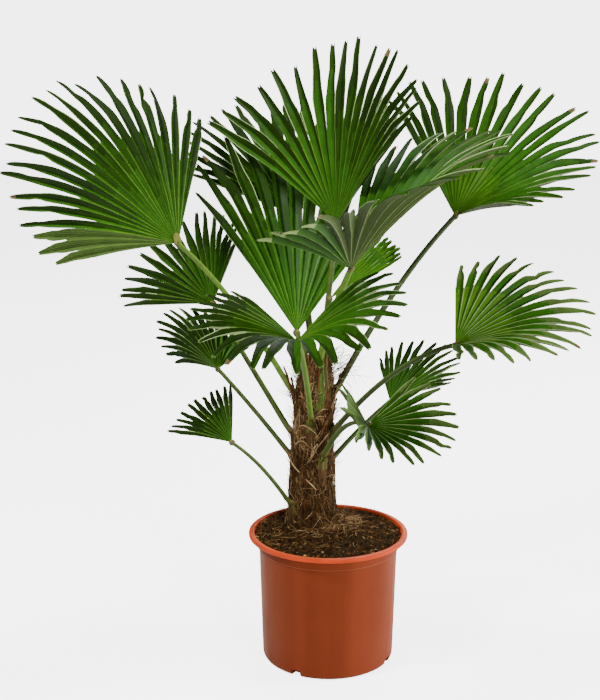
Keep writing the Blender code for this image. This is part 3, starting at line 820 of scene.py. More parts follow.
STALK_FINISHES = [
    stalk_finish("stalk_rind", (0.034, 0.057, 0.008), (0.075, 0.062, 0.017), (0.10, 0.15, 0.030), 0.46),
    stalk_finish("stalk_hollow", (0.056, 0.090, 0.013), (0.095, 0.080, 0.024), (0.13, 0.19, 0.040), 0.48),
    stalk_finish("lighter_rind", (0.058, 0.118, 0.008), (0.085, 0.085, 0.018), (0.15, 0.23, 0.030), 0.46),
    stalk_finish("lighter_hollow", (0.088, 0.165, 0.014), (0.115, 0.105, 0.026), (0.18, 0.27, 0.040), 0.48),
    stalk_finish("shaded_rind", (0.018, 0.031, 0.004), (0.060, 0.048, 0.014), (0.05, 0.08, 0.015), 0.50),
    stalk_finish("shaded_hollow", (0.034, 0.060, 0.008), (0.080, 0.066, 0.020), (0.09, 0.14, 0.025), 0.50),
    leaf_finish("hub_tongue", (0.130, 0.125, 0.018), (0.20, 0.18, 0.04), 0.60, 0.3, 0.3),
    leaf_finish("stalk_teeth", (0.060, 0.060, 0.020), (0.20, 0.16, 0.06), 0.60, 0.2, 0.3),
]
RIND, HOLLOW, LIGHTER_RIND, LIGHTER_HOLLOW, SHADED_RIND, SHADED_HOLLOW, TONGUE, TEETH = range(8)
# Stalks 01, 03 and 05 take lighter copies of the rind, and 04, 11 and 12 the shaded copies, which are painted shade.
STALK_TONES = {
    "01": (LIGHTER_RIND, LIGHTER_HOLLOW), "03": (LIGHTER_RIND, LIGHTER_HOLLOW), "05": (LIGHTER_RIND, LIGHTER_HOLLOW),
    "04": (SHADED_RIND, SHADED_RIND), "11": (SHADED_RIND, SHADED_HOLLOW), "12": (SHADED_RIND, SHADED_HOLLOW),
}
TONGUE_SIZES = {"01": 1.7, "11": 1.2, "13": 1.3, "04": 1.1}
print("stalk finishes", len(STALK_FINISHES))

# %% The trunk's own line and girth
TRUNK_FOOT = Vector((-0.0250, 0.0330, 0.2169))
TRUNK_TOP = Vector((-0.0200, 0.0300, 0.4860))
TRUNK_PROFILE = (
    (0.00, 0.0460), (0.05, 0.0425), (0.11, 0.0385), (0.28, 0.0370), (0.40, 0.0345),
    (0.54, 0.0325), (0.66, 0.0305), (0.80, 0.0300), (0.90, 0.0285), (1.00, 0.0225),
)
CROWN_RING = 0.0165
SOIL_BANK_HEIGHT = 0.2165


def trunk_axis(share):
    """A point on the trunk's leaning axis."""
    return TRUNK_FOOT.lerp(TRUNK_TOP, share) + Vector((-0.0030, 0.0, 0.0)) * sin(pi * share)


def trunk_reach(share, angle):
    """The trunk's radius, dented a little between the old stalk bases."""
    fade = min(1.0, 8.0 * share, 8.0 * (1.0 - share))
    dent = 0.0005 * fade * (1.0 - sin(3.0 * angle + 22.0 * share))
    return blend_table(TRUNK_PROFILE, share) - dent


def trunk_share(height):
    """The share of the trunk's height at one level."""
    return (height - TRUNK_FOOT.z) / (TRUNK_TOP.z - TRUNK_FOOT.z)


print("trunk height", round(TRUNK_TOP.z - TRUNK_FOOT.z, 3))

# %% The line of each stalk
# Where each stalk starts: height on the trunk's side or "top", its heading, and its bow
ROOTS = {
    "01": (0.440, 188, 0.020),
    "02": ("top", 58, 0.0),
    "03": ("top", -75, 0.012),
    "04": (0.430, 28, 0.022),
    "05": (0.404, -97, 0.018),
    "06": ("top", 165, 0.0),
    "07": ("top", 108, 0.0),
    "08": (0.367, 160, 0.000),
    "09": (0.330, 162, 0.003),
    "10": (0.257, 214, 0.010),
    "11": (0.379, -22, 0.024),
    "12": (0.313, 40, 0.004),
    "13": (0.343, -62, 0.022),
    "14": ("top", -5, 0.0),
}
STALK_ROWS = 30


def stalk_line(leaf):
    """Places from the root of a stalk to its knob."""
    hub = Vector(leaf[1])
    level, heading, bow = ROOTS[leaf[0]]
    out = Vector((cos(radians(heading)), sin(radians(heading)), 0.0))
    if level == "top":
        root = TRUNK_TOP + out * CROWN_RING + UP * CLEAR
        lift = root + UP * 0.010 + out * 0.001
    else:
        share = trunk_share(level)
        root = trunk_axis(share) + out * (trunk_reach(share, radians(heading)) + CLEAR + 0.0001)
        lift = root + out * 0.008 + UP * 0.005
    places = [root, root.lerp(lift, 0.35), root.lerp(lift, 0.70)]
    for i in range(STALK_ROWS + 1):
        share = i / STALK_ROWS
        places.append(lift.lerp(hub, share) + UP * (4.0 * bow * share * (1.0 - share)))
    for _ in range(3):
        inner = [0.25 * a + 0.5 * b + 0.25 * c for a, b, c in zip(places, places[1:], places[2:])]
        places = [places[0]] + inner + [places[-1]]
    return places


print("stalk 04 is", round((stalk_line(LEAVES[3])[-1] - stalk_line(LEAVES[3])[0]).length, 3), "long")

# %% Grow one stalk
STALK_SIDES = 18
STALK_WIDTH = 0.0112
STALK_THICK = 0.0100
FLARE = ((0.00, 1.22), (0.05, 1.20), (0.12, 1.10), (0.25, 1.02), (0.85, 0.87), (0.96, 0.86), (1.00, 0.90))
SIZES = ((0.12, 0.78), (0.22, 1.00))  # the share of the full width by the leaf's reach
NARROW_FEET = {"05": 0.68}


def stalk_section(centre, way, width, thick):
    """A ring across the stalk: round below, flat with a hollow above."""
    side = way.cross(UP)
    if side.length < 0.05:
        side = Vector((1.0, 0.0, 0.0))
    side.normalize()
    top = side.cross(way).normalized()
    ring = []
    for i in range(STALK_SIDES):
        angle = 2.0 * pi * (i + 0.5) / STALK_SIDES
        across, high = cos(angle), sin(angle)
        if high > 0.0:
            high = 0.96 * high - 0.34 * exp(-((across / 0.42) ** 2))
        ring.append(centre + side * (0.5 * width * across) + top * (0.5 * thick * high))
    return ring, side, top


def add_ring_skin(rings, faces, chosen, start, finish_of):
    """Join rings of points that are already in the list, from one start number."""
    count = len(rings[0])
    for level in range(len(rings) - 1):
        for i in range(count):
            j = (i + 1) % count
            low, high = start + level * count, start + (level + 1) * count
            faces.append((low + i, high + i, high + j, low + j))
            chosen.append(finish_of(level, i))


def add_oval(points, faces, chosen, uvs, centre, axes, radii, finish):
    """A closed oval body with its own axes and radii."""
    start = len(points)
    levels, count = 7, 14
    for level in range(levels + 1):
        tilt = pi * (level + 0.5) / (levels + 1) - 0.5 * pi
        for i in range(count):
            angle = 2.0 * pi * i / count
            across = axes[0] * (radii[0] * cos(tilt) * cos(angle)) + axes[1] * (radii[1] * cos(tilt) * sin(angle))
            points.append(centre + across + axes[2] * (radii[2] * sin(tilt)))
            uvs.append((i / count, 1.0))
    for level in range(levels):
        for i in range(count):
            j = (i + 1) % count
            low, high = start + level * count, start + (level + 1) * count
            faces.append((low + i, low + j, high + j, high + i))
            chosen.append(finish)
    last = start + levels * count
    faces.append(tuple(start + i for i in reversed(range(count))))
    faces.append(tuple(last + i for i in range(count)))
    chosen += [finish, finish]


def add_tooth(points, faces, chosen, uvs, place, side, way, size):
    """One blunt tooth on the margin of a stalk."""
    start = len(points)
    top = side.cross(way)
    points.extend((
        place - way * size - side * size, place + way * size - side * size,
        place + top * (0.7 * size) - side * size, place + side * (0.8 * size) + way * (0.5 * size),
    ))
    uvs.extend([(0.5, 0.5)] * 4)
    faces.extend(((start, start + 1, start + 3), (start + 1, start + 2, start + 3), (start + 2, start, start + 3)))
    chosen.extend([TEETH] * 3)


def grow_stalk(leaf):
    """Rod, teeth, knob and tongue of one stalk."""
    places = stalk_line(leaf)
    small = blend_table(SIZES, leaf[5])
    foot = NARROW_FEET.get(leaf[0], 1.0)
    points, faces, chosen, uvs, rings = [], [], [], [], []
    draw = random.Random(int(leaf[0]) * 13 + 3)
    marks = []
    for i, place in enumerate(places):
        along = i / (len(places) - 1)
        way = (places[min(i + 1, len(places) - 1)] - places[max(i - 1, 0)]).normalized()
        broad = small * blend_table(FLARE, along) * (foot + (1.0 - foot) * along)
        ring, side, top = stalk_section(place, way, STALK_WIDTH * broad, STALK_THICK * min(broad, 1.2))
        rings.append(ring)
        points += ring
        uvs += [(k / STALK_SIDES, along) for k in range(STALK_SIDES)]
        marks.append((place, side, way, 0.5 * STALK_WIDTH * broad))
    rind, hollow = STALK_TONES.get(leaf[0], (RIND, HOLLOW))
    add_ring_skin(rings, faces, chosen, 0, lambda level, k: hollow if k + 1 < STALK_SIDES // 2 else rind)
    faces.append(tuple(range(STALK_SIDES)))
    faces.append(tuple(reversed(range(len(points) - STALK_SIDES, len(points)))))
    chosen += [rind, rind]
    for place, side, way, half in marks[4:-6]:
        for hand in (-1.0, 1.0):
            spot = place + side * (hand * half * 0.97) + way * draw.uniform(-0.003, 0.003)
            add_tooth(points, faces, chosen, uvs, spot, side * hand, way, 0.0006)
    middle, side, face = leaf_frame(*leaf[2:5])
    hub = Vector(leaf[1])
    add_oval(points, faces, chosen, uvs, hub - face * 0.0008, (side, middle, face), (0.0070 * small, 0.0068 * small, 0.0040), TEETH)
    large = small * TONGUE_SIZES.get(leaf[0], 0.6)
    flap = hub + middle * (0.0030 * large) + face * 0.0026
    tilt = (middle + face * 0.20).normalized()
    add_oval(points, faces, chosen, uvs, flap, (side, tilt, side.cross(tilt)), (0.0044 * large, 0.0064 * large, 0.0013), TONGUE)
    return add_piece("leaf_stalk_" + leaf[0], points, faces, STALK_FINISHES, chosen, uvs, 45)


for leaf in LEAVES:
    stalk = grow_stalk(leaf)
    count = settle(stalk, "leaf_stalk", "stalk_" + leaf[0])
print("stalks", len(LEAVES), "last has", count, "faces")

# %% [markdown]
# ## The trunk and its fibre
#
# The short trunk can't be seen: the clasping feet of its leaves wrap it, and each has frayed into
# a brown net of fibre. A picture could be wrapped round a smooth post, but the outline would stay
# smooth and the hairs would be missing. So there is a core with real relief, then sheaths and torn
# strips, then some thousands of thin three-sided fibres that lie on it or curl away.

# %% Fibre finishes
def strand_finish(name, dark, light, scale, roughness, strength=0.6, distance=0.0008):
    """Matted fibre: dark gaps, lighter strands and their relief."""
    made, tree, shader = new_finish(name, roughness, 0.05)
    matted = use_group(tree, strands, {"Dark": rgba(dark), "Light": rgba(light), "Strand Scale": scale})
    toned = use_group(tree, patches, {"Patch Scale": 70.0, "Amount": 0.35}, {"Colour": matted.outputs["Colour"]})
    tree.links.new(toned.outputs["Colour"], shader.inputs["Base Color"])
    add_bump(tree, shader, matted.outputs["Height"], strength, distance)
    return made


def hair_finish(name, colour, roughness=0.7, amount=0.4):
    """Plain colour with patches of tone, for thin hairs and crumbs."""
    made, tree, shader = new_finish(name, roughness, 0.05)
    toned = use_group(tree, patches, {"Colour": rgba(colour), "Patch Scale": 90.0, "Amount": amount})
    tree.links.new(toned.outputs["Colour"], shader.inputs["Base Color"])
    gloss = add_node(
        tree, "ShaderNodeMapRange", {"Value": toned.outputs["Mask"]},
        {"To Min": roughness - 0.1, "To Max": roughness + 0.1},
    )
    tree.links.new(gloss.outputs["Result"], shader.inputs["Roughness"])
    return made


CORE_FINISH = strand_finish("trunk_core", (0.009, 0.0045, 0.0015), (0.076, 0.041, 0.014), 420.0, 0.9)
SHEATH_FINISHES = [
    strand_finish("sheath_brown", (0.022, 0.011, 0.004), (0.100, 0.054, 0.020), 420.0, 0.8),
    strand_finish("sheath_red", (0.030, 0.011, 0.004), (0.130, 0.050, 0.018), 420.0, 0.8),
    strand_finish("sheath_tan", (0.050, 0.029, 0.011), (0.270, 0.160, 0.068), 420.0, 0.8),
    strand_finish("sheath_olive", (0.036, 0.032, 0.008), (0.100, 0.085, 0.022), 380.0, 0.65),
    strand_finish("sheath_green", (0.036, 0.062, 0.008), (0.080, 0.115, 0.018), 300.0, 0.5, 0.3),
]
SHEATH_BROWN, SHEATH_RED, SHEATH_TAN, SHEATH_OLIVE, SHEATH_GREEN = range(5)
HAIR_FINISHES = [
    hair_finish("fibre_black", (0.014, 0.008, 0.004)),
    hair_finish("fibre_brown", (0.058, 0.030, 0.010)),
    hair_finish("fibre_rust", (0.130, 0.055, 0.017)),
    hair_finish("fibre_tan", (0.235, 0.142, 0.056)),
    hair_finish("fibre_straw", (0.480, 0.330, 0.165)),
]
print("fibre finishes", 1 + len(SHEATH_FINISHES) + len(HAIR_FINISHES))


# %% The trunk's core
def make_trunk_core():
    """A column with the relief of packed fibre."""
    rows, count = 150, 170
    points, faces = [], []
    for row in range(rows + 1):
        share = row / rows
        centre = trunk_axis(share)
        for i in range(count):
            angle = 2.0 * pi * i / count
            out = Vector((cos(angle), sin(angle), 0.0))
            reach = trunk_reach(share, angle)
            place = centre + out * reach
            scale = sin(3.0 * angle + 22.0 * share)
            coarse = 0.0026 * bumpy(place, 0.014, 1.0)
            fine = 0.0016 * bumpy(Vector((place.x, place.y, 0.16 * place.z)), 0.0024, 4.0)
            rough = 0.0009 * bumpy(place, 0.0030, 7.0)
            reach += coarse + fine + rough + 0.0008 * scale - 0.0010
            points.append(centre + out * reach)
    for row in range(rows):
        for i in range(count):
            j = (i + 1) % count
            low, high = row * count, (row + 1) * count
            faces.append((low + i, low + j, high + j, high + i))
    faces.append(tuple(reversed(range(count))))
    faces.append(tuple(range(rows * count, (rows + 1) * count)))
    return add_piece("trunk_core", points, faces, [CORE_FINISH])


core = make_trunk_core()
print("core", settle(core, "trunk_fibre", "trunk"), "faces")


# %% Places on the trunk
def on_trunk(height, angle, lift):
    """A place on the trunk's surface, or beyond it by a lift."""
    inside = min(max(trunk_share(height), 0.0), 1.0)
    centre = trunk_axis(inside)
    centre.z = height
    return centre + Vector((cos(angle), sin(angle), 0.0)) * (trunk_reach(inside, angle) + lift)


print("a place on the trunk", tuple(round(v, 3) for v in on_trunk(0.35, -1.5, 0.0)))

# %% Sheaths and torn strips
STRIP_ROWS = 12
STRIP_COLUMNS = 8
CLASPED = ((0.0, 0.55), (0.3, 0.95), (0.7, 1.0), (1.0, 0.62))
TORN = ((0.0, 1.0), (0.5, 0.85), (0.8, 0.55), (1.0, 0.12))


def add_strip(sheet, heights, angle, wide, widths, stand, finish_of, draw, lean=0.0):
    """A strip that hugs the trunk and stands off towards its ragged upper end."""
    low, high = heights
    grid = []
    for r in range(STRIP_ROWS + 1):
        v = r / STRIP_ROWS
        half = 0.5 * wide * blend_table(widths, v) / 0.034
        line = []
        for c in range(STRIP_COLUMNS + 1):
            u = 2.0 * c / STRIP_COLUMNS - 1.0
            tear = draw.uniform(-0.0014, 0.0014) * (0.3 + v)
            turn = angle + u * half + 0.02 * draw.uniform(-1.0, 1.0) + lean * v
            place = on_trunk(low + (high - low) * v + tear, turn, 0.0010 + stand * v * v + 0.0012 * (1.0 - u * u))
            line.append(sheet.spot(place, Vector((cos(turn), sin(turn), 0.0)), c / STRIP_COLUMNS, v))
        grid.append(line)
    for r in range(STRIP_ROWS):
        finish = finish_of(r / STRIP_ROWS)
        for c in range(STRIP_COLUMNS):
            sheet.patch(grid[r][c], grid[r][c + 1], grid[r + 1][c + 1], grid[r + 1][c], finish, finish)
        sheet.wall(grid[r][0], grid[r + 1][0], finish)
        sheet.wall(grid[r + 1][-1], grid[r][-1], finish)
    for c in range(STRIP_COLUMNS):
        sheet.wall(grid[-1][c], grid[-1][c + 1], finish_of(1.0))
        sheet.wall(grid[0][c + 1], grid[0][c], finish_of(0.0))


def clasping_tone(v):
    """Green where the stalk leaves the sheath, brown lower down."""
    return SHEATH_GREEN if v > 0.72 else (SHEATH_OLIVE if v > 0.45 else SHEATH_BROWN)


def crown_tone(v):
    """The broad foot of a leaf in the crown: green over most of its height."""
    return SHEATH_GREEN if v > 0.30 else SHEATH_OLIVE


SPEARS = (  # low and high end, angle in degrees, width, stand, tone and lean of single strips
    (0.425, 0.528, -128.0, 0.0085, -0.008, SHEATH_RED, 0.0), (0.432, 0.516, -110.0, 0.0070, -0.006, SHEATH_BROWN, 0.0),
    (0.440, 0.522, -142.0, 0.0060, -0.008, SHEATH_RED, 0.0), (0.396, 0.486, 196.0, 0.0120, 0.030, SHEATH_RED, 0.0),
    (0.404, 0.470, 206.0, 0.0080, 0.016, SHEATH_BROWN, 0.0), (0.412, 0.470, 12.0, 0.0090, 0.014, SHEATH_BROWN, 0.0),
    (0.392, 0.436, -52.0, 0.0080, 0.004, SHEATH_TAN, 0.5), (0.398, 0.446, -30.0, 0.0070, 0.006, SHEATH_TAN, 0.4),
    (0.386, 0.430, -24.0, 0.0080, 0.006, SHEATH_RED, 0.4), (0.402, 0.450, -14.0, 0.0060, 0.008, SHEATH_TAN, 0.3),
    (0.380, 0.418, -66.0, 0.0070, 0.003, SHEATH_RED, 0.5), (0.410, 0.456, -44.0, 0.0060, 0.004, SHEATH_BROWN, 0.4),
    (0.418, 0.524, -72.0, 0.0170, 0.001, SHEATH_GREEN, 0.1), (0.426, 0.512, -54.0, 0.0120, 0.001, SHEATH_OLIVE, 0.1),
)


def make_sheaths():
    """The clasping foot of every stalk, old stubs, and torn strips round the top."""
    draw = random.Random(77)
    sheet = ThinSheet(0.0006)
    for leaf in LEAVES:
        level, heading, _ = ROOTS[leaf[0]]
        if level == "top":
            heights = (0.430, TRUNK_TOP.z + draw.uniform(0.006, 0.012))
            add_strip(sheet, heights, radians(heading), 0.018, CLASPED, -0.002, crown_tone, draw)
        else:
            low = max(0.224, level - draw.uniform(0.040, 0.058))
            add_strip(sheet, (low, level + 0.004), radians(heading), 0.017, CLASPED, 0.0030, clasping_tone, draw)
    for i in range(16):
        low = 0.262 + 0.0115 * i
        tone = draw.choice((SHEATH_BROWN, SHEATH_BROWN, SHEATH_RED, SHEATH_TAN))
        heights = (low, low + draw.uniform(0.022, 0.040))
        turn = radians(-40.0 + 137.5 * i)
        size = draw.uniform(0.006, 0.013)
        add_strip(sheet, heights, turn, size, TORN, draw.uniform(0.0, 0.004), lambda v: tone, draw, draw.gauss(0.0, 0.2))
    for i in range(11):
        low = draw.uniform(0.440, 0.468)
        tone = draw.choice((SHEATH_BROWN, SHEATH_RED, SHEATH_RED))
        heights = (low, low + draw.uniform(0.030, 0.065))
        turn = radians(15.0 + 33.0 * i)
        add_strip(sheet, heights, turn, draw.uniform(0.005, 0.010), TORN, draw.uniform(-0.007, 0.009), lambda v: tone, draw)
    for low, high, turn, wide, stand, tone, lean in SPEARS:
        add_strip(sheet, (low, high), radians(turn), wide, TORN, stand, lambda v: tone, draw, lean)
    return add_piece("leaf_sheaths", sheet.points, sheet.faces, SHEATH_FINISHES, sheet.chosen, sheet.uvs, 40)


sheaths = make_sheaths()
print("sheaths", settle(sheaths, "trunk_fibre"), "faces")


# %% One fibre
def add_fibre(points, faces, chosen, path, thick, finish):
    """A thin three-sided fibre along a path, tapering to both ends."""
    start = len(points)
    last = len(path) - 1
    way = (path[1] - path[0]).normalized()
    side = way.orthogonal().normalized()
    for i, place in enumerate(path):
        way = (path[min(i + 1, last)] - path[max(i - 1, 0)]).normalized()
        side = (side - way * side.dot(way)).normalized()
        other = way.cross(side)
        half = thick * (0.35 + 0.65 * sin(pi * (0.08 + 0.84 * i / last)))
        for turn in (0.0, 2.0 * pi / 3.0, 4.0 * pi / 3.0):
            points.append(place + side * (half * cos(turn)) + other * (half * sin(turn)))
    for level in range(last):
        low, high = start + 3 * level, start + 3 * level + 3
        for i in range(3):
            j = (i + 1) % 3
            faces.append((low + i, low + j, high + j, high + i))
    faces.append((start + 2, start + 1, start))
    end = start + 3 * last
    faces.append((end, end + 1, end + 2))
    chosen.extend([finish] * (3 * last + 2))


def curly_path(place, way, length, curl, draw, steps=9, sink=6.0):
    """A path that sets off one way and curls, sinking a little as it goes."""
    axis = Vector((draw.gauss(0, 1), draw.gauss(0, 1), draw.gauss(0, 1))).normalized()
    path = [place.copy()]
    step = length / steps
    for _ in range(steps):
        way = way.normalized()
        way = way + axis.cross(way) * (curl * step) - UP * (sink * step)
        place = place + way.normalized() * step
        path.append(place.copy())
    return path


print("fibre tools ready")


# %% Fibres that lie on the trunk
def lying_path(draw, height, angle, length, lean, curl):
    """A path over the trunk's surface."""
    end_lift = max(0.0, draw.gauss(0.0002, 0.0014))
    steps = 6
    path = []
    for s in range(steps + 1):
        v = s / steps
        path.append(on_trunk(height, angle, 0.0008 + end_lift * v * v + 0.0010 * draw.random()))
        slant = lean + curl * (v - 0.4) * length * 4.0 + draw.gauss(0.0, 0.10)
        height = max(0.210, height + cos(slant) * length / steps)
        angle += sin(slant) * length / steps / 0.036
    return path


def make_lying_fibres(name, seed, count, lengths, steepness, thick, shares):
    """Fibres matted on the trunk, mostly upright, some crossing, palest half way up."""
    draw = random.Random(seed)
    points, faces, chosen = [], [], []
    for _ in range(count):
        height = draw.uniform(0.212, 0.482)
        lean = draw.gauss(0.0, steepness) if draw.random() < 0.8 else draw.uniform(-1.5, 1.5)
        path = lying_path(draw, height, draw.uniform(0.0, 2.0 * pi), draw.uniform(*lengths), lean, draw.gauss(0.0, 9.0))
        pale = exp(-(((height - 0.40) / 0.05) ** 2))
        lift = 0.65 + 2.1 * pale
        weights = (shares[0], shares[1], shares[2] * (0.9 + pale), shares[3] * lift, shares[4] * lift * lift)
        add_fibre(points, faces, chosen, path, draw.uniform(*thick), draw.choices(range(5), weights)[0])
    return add_piece(name, points, faces, HAIR_FINISHES, chosen)


LYING = (  # name, seed, how many, lengths, spread of their lean, thickness, shares of the five colours
    ("short_fibres", 5, 3600, (0.008, 0.026), 0.35, (0.00016, 0.00040), (26, 38, 16, 17, 3)),
    ("long_fibres", 6, 1200, (0.024, 0.070), 0.55, (0.00020, 0.00042), (24, 30, 20, 20, 6)),
    ("coarse_fibres", 7, 620, (0.009, 0.030), 0.40, (0.00042, 0.00072), (14, 30, 22, 27, 7)),
)
for plan in LYING:
    lying = make_lying_fibres(*plan)
    print(lying.name, settle(lying, "trunk_fibre"), "faces")


# %% Tufts round the stalks' feet and pale arched fibres
ARCHES = (  # height, angle and half width in degrees, rise and fall of each arch, and its strands
    (0.378, -110.0, 28.0, 0.014, 0.000, 3), (0.355, -121.0, 24.0, 0.011, 0.002, 3), (0.398, -82.0, 22.0, 0.008, -0.004, 2),
    (0.321, -143.0, 27.0, 0.002, 0.010, 2), (0.295, -93.0, 13.0, 0.001, 0.009, 2), (0.366, -58.0, 24.0, 0.006, -0.012, 2),
    (0.412, -64.0, 16.0, 0.009, -0.006, 2), (0.405, 60.0, 36.0, 0.012, 0.004, 3), (0.372, 130.0, 32.0, 0.010, 0.0, 3),
    (0.330, 20.0, 30.0, 0.004, 0.010, 2), (0.345, 175.0, 26.0, 0.008, -0.006, 2),
)


def make_tufts():
    """Fibres that wrap the foot of every stalk, and pale ones that arch across the trunk."""
    draw = random.Random(29)
    points, faces, chosen = [], [], []
    for leaf in LEAVES:
        level, heading, _ = ROOTS[leaf[0]]
        line = stalk_line(leaf)
        top = TRUNK_TOP.z - 0.002 if level == "top" else level
        for _ in range(64):
            turn = radians(heading) + draw.gauss(0.0, 0.20)
            place = on_trunk(top - draw.uniform(-0.002, 0.018), turn, 0.0010)
            target = line[4].lerp(line[8], draw.random()) + Vector((draw.gauss(0, 1), draw.gauss(0, 1), 0.0)) * 0.0045
            path = curly_path(place, target - place, draw.uniform(0.008, 0.022), draw.uniform(-30.0, 30.0), draw, 7, 0.0)
            add_fibre(points, faces, chosen, path, draw.uniform(0.00022, 0.00042), draw.choices(range(5), (26, 34, 22, 14, 4))[0])
    for height, middle, half, rise, fall, strand_count in ARCHES:
        for strand in range(strand_count):
            path = []
            offset, peak = draw.uniform(-0.0014, 0.0014), draw.uniform(-0.4, 0.2)
            for s in range(13):
                v = s / 6.0 - 1.0
                lift = 0.0026 + 0.0014 * (1.0 - v * v) + 0.0003 * strand
                side = abs(v - peak) / (1.0 + abs(peak))
                up = rise * (1.0 - side ** 1.6) - fall * v + draw.uniform(-0.0003, 0.0003)
                path.append(on_trunk(height + offset + up, radians(middle + half * v), lift))
            add_fibre(points, faces, chosen, path, draw.uniform(0.00034, 0.00052), 4 if strand < 2 else 3)
    return add_piece("tufts", points, faces, HAIR_FINISHES, chosen)


tufts = make_tufts()
print("tufts", settle(tufts, "trunk_fibre"), "faces")

# %% Loose wisps
WISPS = (  # height, angle in degrees, how many, longest
    (0.470, 0.0, 46, 0.075), (0.478, 40.0, 30, 0.060), (0.425, 185.0, 34, 0.046), (0.455, 200.0, 26, 0.040),
    (0.405, 8.0, 24, 0.036), (0.350, -8.0, 26, 0.034), (0.322, 5.0, 18, 0.026), (0.385, 176.0, 16, 0.030),
    (0.470, 120.0, 30, 0.055), (0.440, 250.0, 16, 0.030), (0.290, 190.0, 10, 0.020), (0.445, 90.0, 20, 0.045),
)


def make_wisps():
    """Wiry fibres that stand away from the trunk and curl, in bunches."""
    draw = random.Random(19)
    points, faces, chosen = [], [], []
    for height, angle, count, longest in WISPS:
        for _ in range(count):
            turn = radians(angle) + draw.gauss(0.0, 0.35)
            place = on_trunk(height + draw.gauss(0.0, 0.010), turn, 0.0005)
            out = Vector((cos(turn), sin(turn), 0.0))
            way = out * draw.uniform(0.35, 1.0) + UP * draw.uniform(0.2, 1.5)
            way += Vector((draw.uniform(-0.4, 0.4), draw.uniform(-0.4, 0.4), 0.0))
            length = longest * draw.uniform(0.3, 1.0)
            path = curly_path(place, way, length, draw.uniform(-45.0, 45.0), draw)
            finish = draw.choices(range(5), (50, 28, 10, 9, 3))[0]
            add_fibre(points, faces, chosen, path, draw.uniform(0.00022, 0.00052), finish)
    return add_piece("loose_wisps", points, faces, HAIR_FINISHES, chosen)


wisps = make_wisps()
print("wisps", settle(wisps, "trunk_fibre"), "faces")

# %% [markdown]
# ## The soil
#
# The pot is filled with moist, peaty compost up to the foot of the trunk. Displacing a disc gives
# soft hills only, and compost is made of separate crumbs, so the bed carries a few thousand small
# angular crumbs, chips of bark and bits of root.

# %% Soil finishes
SOIL_FINISHES = [
    strand_finish("soil_bed", (0.010, 0.005, 0.0015), (0.050, 0.027, 0.009), 900.0, 0.95, 0.9, 0.0012),
    hair_finish("crumb_black", (0.011, 0.0055, 0.0018), 0.9),
    hair_finish("crumb_brown", (0.045, 0.023, 0.007), 0.9),
    hair_finish("crumb_bark", (0.096, 0.047, 0.015), 0.85),
    hair_finish("crumb_red", (0.125, 0.049, 0.014), 0.85),
    hair_finish("crumb_straw", (0.220, 0.140, 0.055), 0.8),
]
print("soil finishes", len(SOIL_FINISHES))

# %% The bed of soil
POT_HEIGHT = 0.215
RIM_DROP = 0.0065
COLLAR_DROP = 0.0165
COLLAR_RADIUS = 0.1145
NECK_RADIUS = 0.1125
FOOT_RADIUS = 0.1072
POT_WALL = 0.0024
SOIL_BOTTOM = 0.0143
SOIL_RIM_HEIGHT = 0.2110
SOIL_RIM_RADIUS = 0.1183
SOIL_BANK_RADIUS = 0.060
SOIL_EDGE = COLLAR_RADIUS - POT_WALL - 0.0008
HEAP = Vector((0.030, 0.006, 0.0090))  # the place and height of the matted roots beside the trunk


def soil_place(angle, share, relief=True):
    """A place on the soil's top: share 0 at the pot, 1 at the bank, more up to the trunk."""
    rim = Vector((SOIL_RIM_RADIUS * cos(angle), SOIL_RIM_RADIUS * sin(angle), 0.0))
    bank = Vector((TRUNK_FOOT.x + SOIL_BANK_RADIUS * cos(angle), TRUNK_FOOT.y + SOIL_BANK_RADIUS * sin(angle), 0.0))
    if share <= 1.0:
        place = rim.lerp(bank, share)
    else:
        place = bank.lerp(Vector((TRUNK_FOOT.x, TRUNK_FOOT.y, 0.0)), share - 1.0)
    rise = min(share, 1.0)
    place.z = SOIL_RIM_HEIGHT + (SOIL_BANK_HEIGHT - SOIL_RIM_HEIGHT) * rise * rise * (3.0 - 2.0 * rise)
    if relief:
        edge = min(1.0, 0.35 + 6.0 * share)
        place.z += edge * (0.0026 * bumpy(place, 0.020, 3.0) + 0.0018 * bumpy(place, 0.007, 5.0))
        heap = exp(-((place.x - HEAP.x) / 0.020) ** 2 - ((place.y - HEAP.y) / 0.036) ** 2)
        place.z += HEAP.z * heap * (0.75 + 1.2 * bumpy(place, 0.009, 9.0))
    return place


def make_soil_bed():
    """The closed body of soil with its uneven top."""
    count = 200
    angles = [2.0 * pi * i / count for i in range(count)]
    rings = []
    for radius, height in (
        (FOOT_RADIUS - POT_WALL - 0.0008, SOIL_BOTTOM),
        (NECK_RADIUS - POT_WALL - 0.0008, POT_HEIGHT - COLLAR_DROP - 0.003),
        (SOIL_EDGE, POT_HEIGHT - COLLAR_DROP + 0.0026),
        (SOIL_EDGE + 0.0004, POT_HEIGHT - RIM_DROP - 0.0006),
        (SOIL_RIM_RADIUS, SOIL_RIM_HEIGHT - 0.0012),
    ):
        rings.append([Vector((radius * cos(a), radius * sin(a), height)) for a in angles])
    shares = [i / 34 for i in range(35)] + [1.1, 1.2, 1.3, 1.4, 1.55]
    rings += [[soil_place(a, share) for a in angles] for share in shares]
    points = [p for ring in rings for p in ring]
    faces = []
    for level in range(len(rings) - 1):
        for i in range(count):
            j = (i + 1) % count
            low, high = level * count, (level + 1) * count
            faces.append((low + i, low + j, high + j, high + i))
    faces.append(tuple(reversed(range(count))))
    faces.append(tuple(range(len(points) - count, len(points))))
    return add_piece("soil_bed", points, faces, SOIL_FINISHES[:1])


bed = make_soil_bed()
print("soil bed", settle(bed, "potting_soil", "soil"), "faces")

